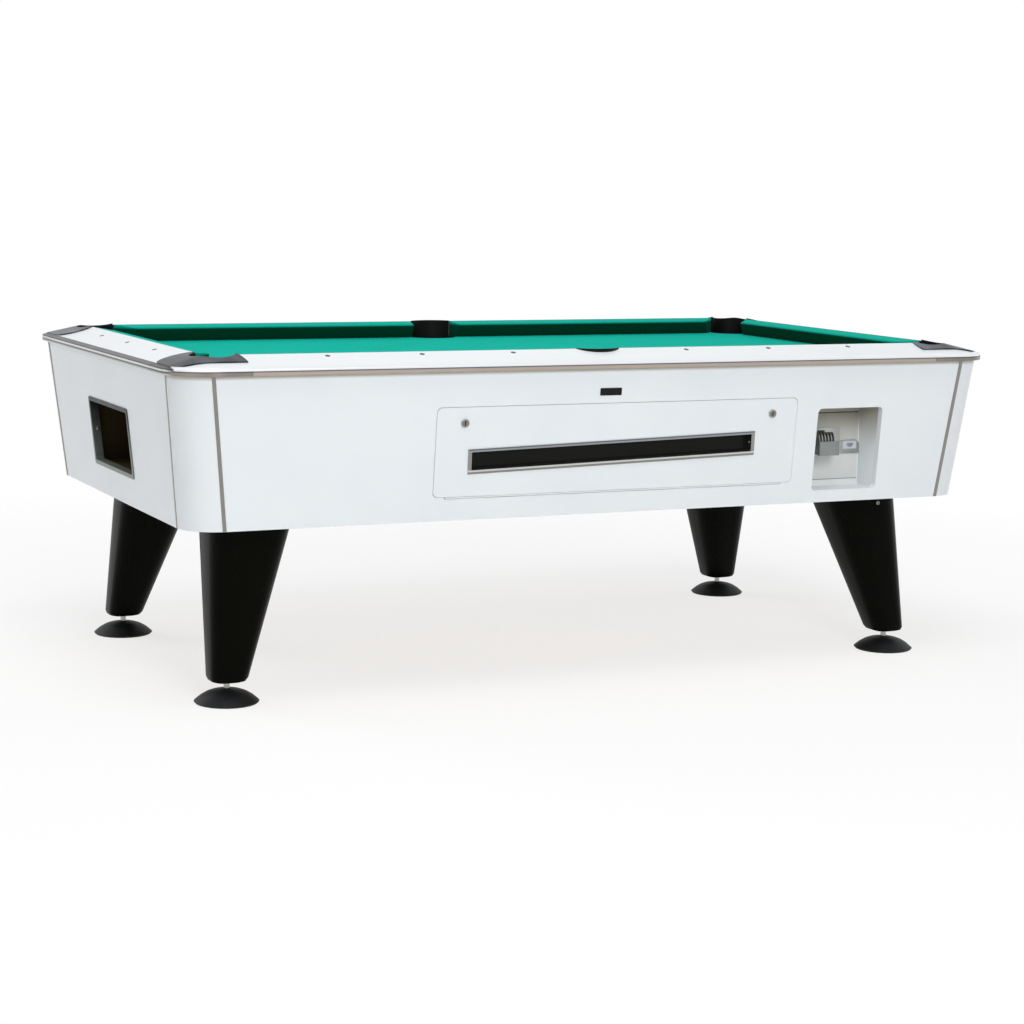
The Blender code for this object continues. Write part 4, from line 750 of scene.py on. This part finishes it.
def cushion(node):
    low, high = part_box(node)
    along = Vector((1, 0, 0)) if high.x - low.x > high.y - low.y else Vector((0, 1, 0))
    middle = (low + high) / 2
    across = middle - along * middle.dot(along)
    outward = Vector((across.x, across.y, 0)).normalized()
    depth = (high - low).dot(Vector((abs(outward.x), abs(outward.y), 0)))
    back = middle.dot(outward) + depth / 2
    nose = outward * (back - depth) + Vector((0, 0, BED_TOP + NOSE_RISE))
    piece = cube(node + "_cloth", low, high)
    bpy.ops.object.mode_set(mode="EDIT")
    saw(nose, -outward * (high.z - nose.z) + Vector((0, 0, depth)))
    saw(nose, -outward * NOSE_RISE - Vector((0, 0, FOOT_DEPTH)))
    for end, corner in ((-1, low), (1, high)):
        at = corner.dot(along)
        cut = SIDE_CUT if along.x and abs(at) < INNER_X / 4 else CORNER_CUT
        saw(along * at + outward * back, along * end - outward * cut)

    def at_nose(middle, way):
        return (middle - nose).dot(outward) < NOSE_REACH and abs(way.dot(along)) > NEARLY

    def at_top(middle, way):
        return middle.z > RAIL_TOP - WRAP_REACH and abs(way.dot(along)) > NEARLY

    ease(piece, at_nose, NOSE_ROUND, 6)
    ease(piece, at_top, WRAP_ROUND, 3)
    # the cushion cloth has painted shade below the nose
    dress(piece, SHADED_CUSHION_CLOTH, "cabinet", 50)
    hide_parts(node)
    return piece


cushions = [cushion(name) for name in sorted(nodes) if name.endswith("_cushion")]
print("cushions wrapped:", len(cushions))

# %% [markdown]
# The bed cloth is one sheet pulled tight over the slate and tucked under the rails, with a mouth at each
# pocket: round at the corners, oval at the sides. A thin box is cut by six cylinders, each resized to its
# pocket's liner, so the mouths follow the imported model.

# %% Bed cloth
MOUTH_GAP = 0.0003
MOUTH_CUT = 0.1
bed = cube("bed_cloth_sheet", cloth_low, cloth_high)
for name in sorted(nodes):
    if not name.endswith("_pocket_liner"):
        continue
    low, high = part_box(name)
    cutter = disc("mouth_cutter", 1.0, MOUTH_CUT, 48)
    half = (high - low) / 2
    bpy.ops.transform.resize(value=(half.x + MOUTH_GAP, half.y + MOUTH_GAP, 1.0))
    bpy.ops.transform.translate(value=((low.x + high.x) / 2, (low.y + high.y) / 2, BED_TOP))
    carve(bed, cutter)
dress(bed, CLOTH, "cabinet")
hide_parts("bed_cloth")

# %% [markdown]
# Where a flat panel meets a curved corner, an aluminium strip covers the joint. A strip starts as a box
# over the rib, a bevel eases its two outer edges, and its lower end is moved in with the cabinet's lean.
# One strip is made for the front and one for the end, and each is mirrored to the other three corners.

# %% Joint strips
STRIP_OVERLAP = 0.0015
STRIP_REACH = 0.0075
STRIP_PROUD = 0.0016
STRIP_SUNK = 0.001
STRIP_EASE = 0.0005
END_GAP = 0.0005


def joint_strip(name, low, high, outward):
    """A strip at the front left corner, leaning in at the bottom."""
    piece = cube(name, (*low, CAB_BOTTOM + END_GAP), (*high, CAB_TOP - END_GAP))
    front = max(Vector((*low, 0)).dot(outward), Vector((*high, 0)).dot(outward))
    ease(piece, lambda at, way: abs(way.z) > NEARLY and at.dot(outward) > front - TINY, STRIP_EASE, 2)
    choose(piece, lambda at, way: way.z < -NEARLY, "FACE")
    bpy.ops.transform.translate(value=(TAPER, TAPER, 0))
    return piece


strips = {
    "front": joint_strip(
        "front_joint_strip",
        (-panel_high.x - STRIP_REACH, -CAB_Y - STRIP_PROUD),
        (-panel_high.x + STRIP_OVERLAP, -CAB_Y + STRIP_SUNK),
        Vector((0, -1, 0)),
    ),
    "end": joint_strip(
        "end_joint_strip",
        (-CAB_X - STRIP_PROUD, -end_high.y - STRIP_REACH),
        (-CAB_X + STRIP_SUNK, -end_high.y + STRIP_OVERLAP),
        Vector((-1, 0, 0)),
    ),
}
for kind, strip in strips.items():
    for sx, sy, corner in ((-1, 1, "right_front"), (1, -1, "left_back"), (-1, -1, "right_back")):
        copy = mirrored(strip, f"{kind}_joint_strip_{corner}", sx, sy)
        dress(copy, STRIP_METAL, "cabinet")
    dress(strip, STRIP_METAL, "cabinet")
print("joint strips:", 4 * len(strips))

# %% [markdown]
# The sights are small dark dots let into the rails, an eighth of the field apart, so that a player can
# aim by them. One is turned from a disc: the rim is rounded over so that it ends in a low dome. Copies
# are set along the rails and tipped with the rail's slope.

# %% Sights on the rails
SIGHT_RADIUS = 0.006
SIGHT_RIM = SIGHT_RADIUS * 0.4
SIGHT_HEIGHT = 0.0016
SIGHT_DOME = 0.0003
SIGHT_ROUND = 0.0004
SIGHT_RISE = 0.0006
SIGHT_STEP = 0.229
LONG_INSET = 0.088
END_INSET = 0.075


def sight_rim(at, way):
    return at.z > 0 and abs(way.z) < LEVEL and at.xy.length > SIGHT_RADIUS * NEARLY


def rail_height(inset):
    """Height of the sloped rail top, by the distance in from the table's edge."""
    return RAIL_TOP - RAIL_FALL * (1 - inset / RAIL_WIDTH)


sight = disc("sight", SIGHT_RADIUS, SIGHT_HEIGHT, 28)
choose(sight, lambda at, way: way.z > NEARLY, "FACE")
bpy.ops.mesh.inset(thickness=SIGHT_RIM)
bpy.ops.transform.translate(value=(0, 0, SIGHT_DOME))
ease(sight, sight_rim, SIGHT_ROUND, 3)

sight_places = []
for side in (-1, 1):
    for step in (-3, -2, -1, 1, 2, 3):
        point = Vector((step * SIGHT_STEP, side * (OUTER_Y - LONG_INSET), rail_height(LONG_INSET)))
        sight_places.append((point, Vector((0, side * math.sin(RAIL_TILT), math.cos(RAIL_TILT)))))
    for step in (-1, 0, 1):
        point = Vector((side * (OUTER_X - END_INSET), step * SIGHT_STEP, rail_height(END_INSET)))
        sight_places.append((point, Vector((side * math.sin(RAIL_TILT), 0, math.cos(RAIL_TILT)))))
for index, (point, normal) in enumerate(sight_places):
    centre = point + normal * (SIGHT_RISE - SIGHT_HEIGHT / 2)
    copy = settle(twin(sight, f"sight_{index:02d}"), facing(centre, normal))
    dress(copy, SIGHT_FILL, "cabinet")
deselect()
bpy.data.objects.remove(sight, do_unlink=True)
print("sights:", len(sight_places))

# %% [markdown]
# The opening for the ball door is finished with a white edge band, set a little below the face, so the
# seam shows as a fine line and not as a black gap. The band is a rounded frame: a box with its corners
# bevelled, from which a smaller one is taken. Below, the hinge fills the seam, so the band stops there.

# %% Edge band round the door
SEAM = 0.002
HINGE_SLOT = 0.0054
HINGE_ROOM = 0.01
BAND_SUNK = 0.0001
BAND_THICK = 0.0011
BAND_FRONT = 0.0006
BAND_BACK = 0.006
DOOR_ROUND = 0.012
BAND_STEPS = 6

door_top = (CAB_TOP - door_high.z + PANEL * math.sin(LEAN)) / math.cos(LEAN)
door_bottom = (CAB_TOP - door_low.z) / math.cos(LEAN)
hinge_low, hinge_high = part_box("hinge_fixed_leaf")


def rounded_box(name, grow, grow_below, front, back):
    """A box over the door, grown all round, with rounded corners, in the front panel's own frame."""
    low = (door_low.x - grow, front, -door_bottom - grow_below)
    high = (door_high.x + grow, back, -door_top + grow)
    return plate_blank(name, low, high, DOOR_ROUND, BAND_STEPS)


band_gap = SEAM - BAND_THICK
band = rounded_box("door_edge_band", SEAM + BAND_SUNK, HINGE_SLOT + BAND_SUNK, BAND_FRONT, BAND_BACK)
carve(band, rounded_box("band_cutter", band_gap, band_gap, 0, BAND_BACK * 2))
hinge_cutter = cube(
    "hinge_cutter",
    (hinge_low.x - SEAM, 0, -door_bottom - HINGE_ROOM),
    (hinge_high.x + SEAM, BAND_BACK * 2, -door_bottom + HINGE_ROOM),
)
carve(band, hinge_cutter)
dress(settle(band, FRONT), LAMINATE, "cabinet")
print("door seam banded")

# %% [markdown]
# A lock shows its plug in a bright ring. The plug is a disc whose face is inset and pressed in a little,
# and the keyway is a slot that a Boolean cuts; its faces are black, which is painted shade. The plug turns
# with the cam, so it rides on the lock's own body, and the joint in the record gives its place and its way
# out.

# %% Lock plugs
PLUG_RADIUS = 0.0086
PLUG_HEIGHT = 0.003
PLUG_PROUD = 0.001
PLUG_RIM = 0.0012
PLUG_DISH = 0.0004
LOCK_PROUD = 0.0035
KEYWAY = Vector((0.0014, 0.0052))
KEYWAY_LIFT = 0.0001
KEYWAY_FLOOR = PLUG_HEIGHT / 2 - PLUG_PROUD + KEYWAY_LIFT
KEYWAY_REACH = KEYWAY * 1.1

plug = disc("lock_plug", PLUG_RADIUS, PLUG_HEIGHT, 32)
choose(plug, lambda at, way: way.z > NEARLY, "FACE")
bpy.ops.mesh.inset(thickness=PLUG_RIM)
bpy.ops.transform.translate(value=(0, 0, -PLUG_DISH))
carve(plug, cube("keyway_cutter", (-KEYWAY.x, -KEYWAY.y, KEYWAY_FLOOR), (KEYWAY.x, KEYWAY.y, PLUG_HEIGHT)))
keyway_shade_faces = []
for face in plug.data.polygons:
    inside = abs(face.center.x) < KEYWAY_REACH.x and abs(face.center.y) < KEYWAY_REACH.y
    if inside and face.center.z > 0:
        keyway_shade_faces.append(face.index)
for joint in frame["record"]["behaviour"]["joints"]:
    if not joint["child"].endswith("_lock"):
        continue
    out = Vector(joint["axis"])
    out = out if out.y < 0 else -out
    centre = Vector(joint["pos_m"]) + out * (LOCK_PROUD + PLUG_PROUD - PLUG_HEIGHT / 2)
    copy = settle(twin(plug, joint["child"] + "_plug"), facing(centre, out))
    dress(copy, PLUG, joint["child"], 30)
    # the keyway's faces are black: painted shade
    copy.data.materials.append(BLACK_ABS_AND_KEYWAY_SHADE)
    for index in keyway_shade_faces:
        copy.data.polygons[index].material_index = 1
deselect()
bpy.data.objects.remove(plug, do_unlink=True)
print("lock plugs set, faces in each keyway:", len(keyway_shade_faces))

# %% [markdown]
# A bare dark plate sits on the front panel above the door. It is a thin sheet with its corners and edges
# eased by bevels, glued on, so it starts a hair inside the laminate.

# %% Bare plate on the front
PLATE_LEFT = -0.035
PLATE_RIGHT = 0.021
PLATE_UPPER = 0.0472
PLATE_LOWER = 0.0649
PLATE_THICK = 0.0012
PLATE_SUNK = 0.0003
PLATE_CORNER = 0.001
PLATE_EASE = 0.0003

plate = plate_blank(
    "front_plate",
    (PLATE_LEFT, -PLATE_THICK, -PLATE_LOWER),
    (PLATE_RIGHT, PLATE_SUNK, -PLATE_UPPER),
    PLATE_CORNER,
)
ease(plate, lambda at, way: at.y < -PLATE_THICK * NEARLY, PLATE_EASE, 2)
dress(settle(plate, FRONT), DARK_PLATE, "cabinet")
print("front plate set")

# %% [markdown]
# Each leg hangs on bolts through its top. A head shows on the front right leg and, with the legs turned
# half round, on the back left one. It is low and round with a socket: a disc, its upper rim bevelled, its
# face inset and pushed in. The same shape, smaller, serves for the screws in the ball return and for one
# in the window frame, which turns with the door.

# %% Bolt and screw heads
BOLT_RADIUS = 0.0055
BOLT_HEIGHT = 0.003
BOLT_PLACE = (0.8436, -0.45415, 0.387)
BOLT_WAY = (0, -1, 0.0618)
SCREW_RADIUS = 0.0035
SCREW_HEIGHT = 0.0016
RETURN_SCREW_PLACE = (-1.028, 0.160, 0.570)
FRAME_SCREW_SHARE = 0.7
FRAME_SCREW_DEPTH = 0.009
FRAME_SCREW_DOWN = 0.1911
FRAME_FACE = 0.0098
FLAT = 0.99


def fastener(name, radius, height, place):
    """A low round head with a socket, sunk by a tenth of its height into the surface at a place."""
    upper = height * 0.4
    piece = disc(name, radius, height, 24)
    ease(piece, lambda at, way: abs(way.z) < LEVEL and at.z > upper, height * 0.45, 3)
    choose(piece, lambda at, way: way.z > FLAT and at.z > upper, "FACE")
    bpy.ops.mesh.inset(thickness=radius * 0.3)
    bpy.ops.mesh.extrude_region_move(TRANSFORM_OT_translate={"value": (0, 0, -height / 2)})
    deselect()
    return settle(piece, place @ Matrix.Translation((0, 0, upper)))


bolt = fastener("leg_bolt_front", BOLT_RADIUS, BOLT_HEIGHT, facing(BOLT_PLACE, BOLT_WAY))
dress(mirrored(bolt, "leg_bolt_back", -1, -1), ZINC, "cabinet")
dress(bolt, ZINC, "cabinet")

screw = fastener("return_screw_back", SCREW_RADIUS, SCREW_HEIGHT, facing(RETURN_SCREW_PLACE, (0, -1, 0)))
dress(mirrored(screw, "return_screw_front", 1, -1), STEEL, "cabinet")
dress(screw, STEEL, "cabinet")

frame_screw_place = (window_high.x - FRAME_FACE, FRAME_SCREW_DEPTH, -FRAME_SCREW_DOWN)
frame_screw = fastener(
    "window_frame_screw",
    SCREW_RADIUS * FRAME_SCREW_SHARE,
    SCREW_HEIGHT * FRAME_SCREW_SHARE,
    FRONT @ facing(frame_screw_place, (-1, 0, 0)),
)
dress(frame_screw, STEEL, "ball_door")
print("bolts and screws set")

# %% [markdown]
# The back of the coin recess is faced with a cream plate. A thin sheet is cut out with Booleans round the
# bezel of the coin chute and its arm, with a small gap, so the bezel stands in a matching hole.

# %% Recess plate
chute_low, chute_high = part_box("coin_chute")
RECESS_WALL = 0.008
RECESS_BACK = -0.485628
FACE_LOWER = 0.460
FACE_UPPER = 0.626
FACE_THICK = 0.0015
FACE_SUNK = 0.0003
FACE_GAP = 0.0006
FACE_RIGHT_GAP = 0.004
FACE_CORNER = 0.004
BEZEL_RIGHT = 0.6994
BEZEL_LOW = 0.5225
BEZEL_OVERLAP = 0.002
ARM_TOP = 0.556
CUT_PAST = 0.01

face_low = Vector((recess_low.x + RECESS_WALL + FACE_GAP, RECESS_BACK - FACE_THICK, FACE_LOWER))
face_high = Vector((recess_high.x - RECESS_WALL - FACE_RIGHT_GAP, RECESS_BACK + FACE_SUNK, FACE_UPPER))
face_plate = plate_blank("recess_plate", face_low, face_high, FACE_CORNER)
for left, right, top in (
    (chute_low.x, BEZEL_RIGHT, chute_high.z),
    (BEZEL_RIGHT - BEZEL_OVERLAP, chute_high.x + CUT_PAST, ARM_TOP),
):
    cutter = cube(
        "bezel_cutter",
        (left - FACE_GAP, RECESS_BACK - CUT_PAST, BEZEL_LOW - FACE_GAP),
        (right + FACE_GAP, RECESS_BACK + CUT_PAST, top + FACE_GAP),
    )
    carve(face_plate, cutter)
dress(face_plate, SHADED_CREAM_ENAMEL, "cabinet")
print("recess plate set")

# %% [markdown]
# Two thin black bars lie along the plate's upper and lower edges and show as two dark lines: painted
# shadow. Each is a thin bar along the edge, with its front edges rounded by a bevel.

# %% Painted shadow lines at the edges of the recess plate
SHADOW_LINE_UPPER = 0.0018
SHADOW_LINE_LOWER = 0.001
SHADOW_LINE_PROUD = 0.0004
SHADOW_LINE_ROUND = 0.0004
# two black bars that stand for shadow lines: painted shade
for edge, low, high in (
    ("upper", FACE_UPPER, FACE_UPPER + SHADOW_LINE_UPPER),
    ("lower", FACE_LOWER - SHADOW_LINE_LOWER, FACE_LOWER),
):
    bar = cube(
        f"recess_{edge}_shadow_line",
        (face_low.x, face_low.y - SHADOW_LINE_PROUD, low),
        (face_high.x, face_high.y, high),
    )
    ease(bar, lambda at, way: abs(way.x) > NEARLY and at.y < face_low.y, SHADOW_LINE_ROUND, 2)
    dress(bar, SHADOW_LINE_BLACK, "cabinet")
print("recess plate edged")

# %% [markdown]
# On the bezel's arm there is a pale plate with a grey half-round badge, flat side up. The plate is a
# bevelled sheet. The badge is a disc, cut to a half by a bisect, with its outer rim rounded.

# %% Plate and badge on the arm
BEZEL_FRONT = -0.488928
ARM_PLATE_LEFT = 0.708
ARM_PLATE_RIGHT = 0.748
ARM_PLATE_LOWER = 0.5345
ARM_PLATE_UPPER = 0.5544
ARM_PLATE_THICK = 0.001
ARM_PLATE_SUNK = 0.0002
ARM_PLATE_CORNER = 0.0015
BADGE_RADIUS = 0.009
BADGE_HEIGHT = 0.001
BADGE_FLAT = 0.0015
BADGE_ROUND = 0.0003
BADGE_PLACE = (0.729, BEZEL_FRONT - ARM_PLATE_THICK - BADGE_HEIGHT * 0.3, 0.5475)

arm_plate = plate_blank(
    "arm_plate",
    (ARM_PLATE_LEFT, BEZEL_FRONT - ARM_PLATE_THICK, ARM_PLATE_LOWER),
    (ARM_PLATE_RIGHT, BEZEL_FRONT + ARM_PLATE_SUNK, ARM_PLATE_UPPER),
    ARM_PLATE_CORNER,
)
dress(arm_plate, ENAMEL, "cabinet")

badge = disc("arm_badge", BADGE_RADIUS, BADGE_HEIGHT, 36)
bpy.ops.object.mode_set(mode="EDIT")
saw((0, BADGE_FLAT, 0), (0, 1, 0))
ease(badge, lambda at, way: at.z > BADGE_HEIGHT * 0.4 and abs(way.z) < LEVEL, BADGE_ROUND, 2)
settle(badge, facing(BADGE_PLACE, (0, -1, 0)))
dress(badge, GREY_ENAMEL, "cabinet")
print("coin recess dressed")

# %% [markdown]
# The studio is white all round. What the camera, a mirror or a pane sees is plain white, while the light
# that falls on the table is weaker, so the pale laminate keeps its colour. The floor is part paper and
# part glow: near the table it is mostly paper and takes the shadow, farther out it turns to plain white.

# %% Studio floor
FLOOR_SIZE = 60.0
SHADOW_NEAR = 1.3
SHADOW_FAR = 3.2
GLOW_NEAR = 0.72


def seen_directly(tree):
    """1 for rays that the camera, a mirror or a pane sends, 0 for the light on the table."""
    total = add(tree, "ShaderNodeLightPath", {}, "Is Camera Ray")
    for kind in ("Is Glossy Ray", "Is Transmission Ray"):
        ray = add(tree, "ShaderNodeLightPath", {}, kind)
        total = add(tree, "ShaderNodeMath", {0: total, 1: ray}, operation="MAXIMUM")
    return total


def studio_paper():
    material, tree, shader, place = start("studio_paper")
    wire(tree, shader, {"Base Color": "#F4F4F4", "Roughness": 0.95, "Specular IOR Level": 0.0})
    distance = add(tree, "ShaderNodeVectorMath", {0: place}, "Value", operation="LENGTH")
    limits = {"From Min": SHADOW_NEAR, "From Max": SHADOW_FAR, "To Min": GLOW_NEAR, "To Max": 1.0}
    share = add(tree, "ShaderNodeMapRange", {"Value": distance, **limits})
    factor = add(tree, "ShaderNodeMath", {0: share, 1: seen_directly(tree)}, operation="MULTIPLY")
    glow = add(tree, "ShaderNodeEmission", {"Color": "#FFFFFF", "Strength": 1.0})
    both = add(tree, "ShaderNodeMixShader", {0: factor, 1: shader.outputs["BSDF"], 2: glow})
    wire(tree, tree.nodes["Material Output"], {"Surface": both})
    return material


deselect()
bpy.ops.mesh.primitive_plane_add(size=FLOOR_SIZE, location=(0, 0, 0))
floor = bpy.context.object
floor.name = "studio_floor"
floor.data.materials.append(studio_paper())
print("studio floor laid")

# %% [markdown]
# The light is a weak white sky and four square soft boxes that look at the table: one above, one in
# front, one at the right and one behind at the left.

# %% Soft studio light
SKY_LIGHT = 0.42
LAMP_AIM = Vector((0, 0, 0.6))
LAMPS = (
    ("key", (-1.2, -2.2, 6.2), 3.0, 150),
    ("front_fill", (-1.0, -6.0, 3.2), 2.0, 135),
    ("right_fill", (6.5, 0.5, 1.8), 3.0, 45),
    ("back_fill", (-4.5, 5.0, 3.5), 3.0, 120),
)
world = bpy.data.worlds.new("studio")
bpy.context.scene.world = world
world.use_nodes = True
sky = world.node_tree
seen = seen_directly(sky)
strength = add(sky, "ShaderNodeMapRange", {"Value": seen, "To Min": SKY_LIGHT, "To Max": 1.0})
wire(sky, sky.nodes["Background"], {"Color": "#FFFFFF", "Strength": strength})
for name, location, size, power in LAMPS:
    deselect()
    bpy.ops.object.light_add(type="AREA", location=location)
    light = bpy.context.object
    light.name = name
    light.data.size = size
    light.data.energy = power
    light.rotation_euler = (LAMP_AIM - Vector(location)).to_track_quat("-Z", "Y").to_euler()
print("lamps:", len(LAMPS))

# %% [markdown]
# The camera stands where the photographer stood, found from the table's own edges, with a long lens.

# %% Camera
CAMERA_PLACE = (-2.52517, -5.43412, 1.20287)
CAMERA_YAW = 0.43832
CAMERA_PITCH = -0.14323
CAMERA_ROLL = 0.01741
FOCAL_PIXELS = 2338.3
PHOTO_SIZE = 1024
SENSOR = 36.0
forward = Vector(
    (
        math.sin(CAMERA_YAW) * math.cos(CAMERA_PITCH),
        math.cos(CAMERA_YAW) * math.cos(CAMERA_PITCH),
        math.sin(CAMERA_PITCH),
    )
)
right = Vector((math.cos(CAMERA_YAW), -math.sin(CAMERA_YAW), 0))
up = right.cross(forward)
tilt_right = right * math.cos(CAMERA_ROLL) + up * math.sin(CAMERA_ROLL)
tilt_up = up * math.cos(CAMERA_ROLL) - right * math.sin(CAMERA_ROLL)
deselect()
bpy.ops.object.camera_add()
camera = bpy.context.object
camera.data.sensor_width = SENSOR
camera.data.lens = SENSOR * FOCAL_PIXELS / PHOTO_SIZE
turn = Matrix((tilt_right, tilt_up, -forward)).transposed().to_4x4()
camera.matrix_world = Matrix.Translation(CAMERA_PLACE) @ turn
bpy.context.scene.camera = camera
bpy.context.scene.view_settings.view_transform = "Standard"
print(f"lens: {camera.data.lens:.1f} mm")
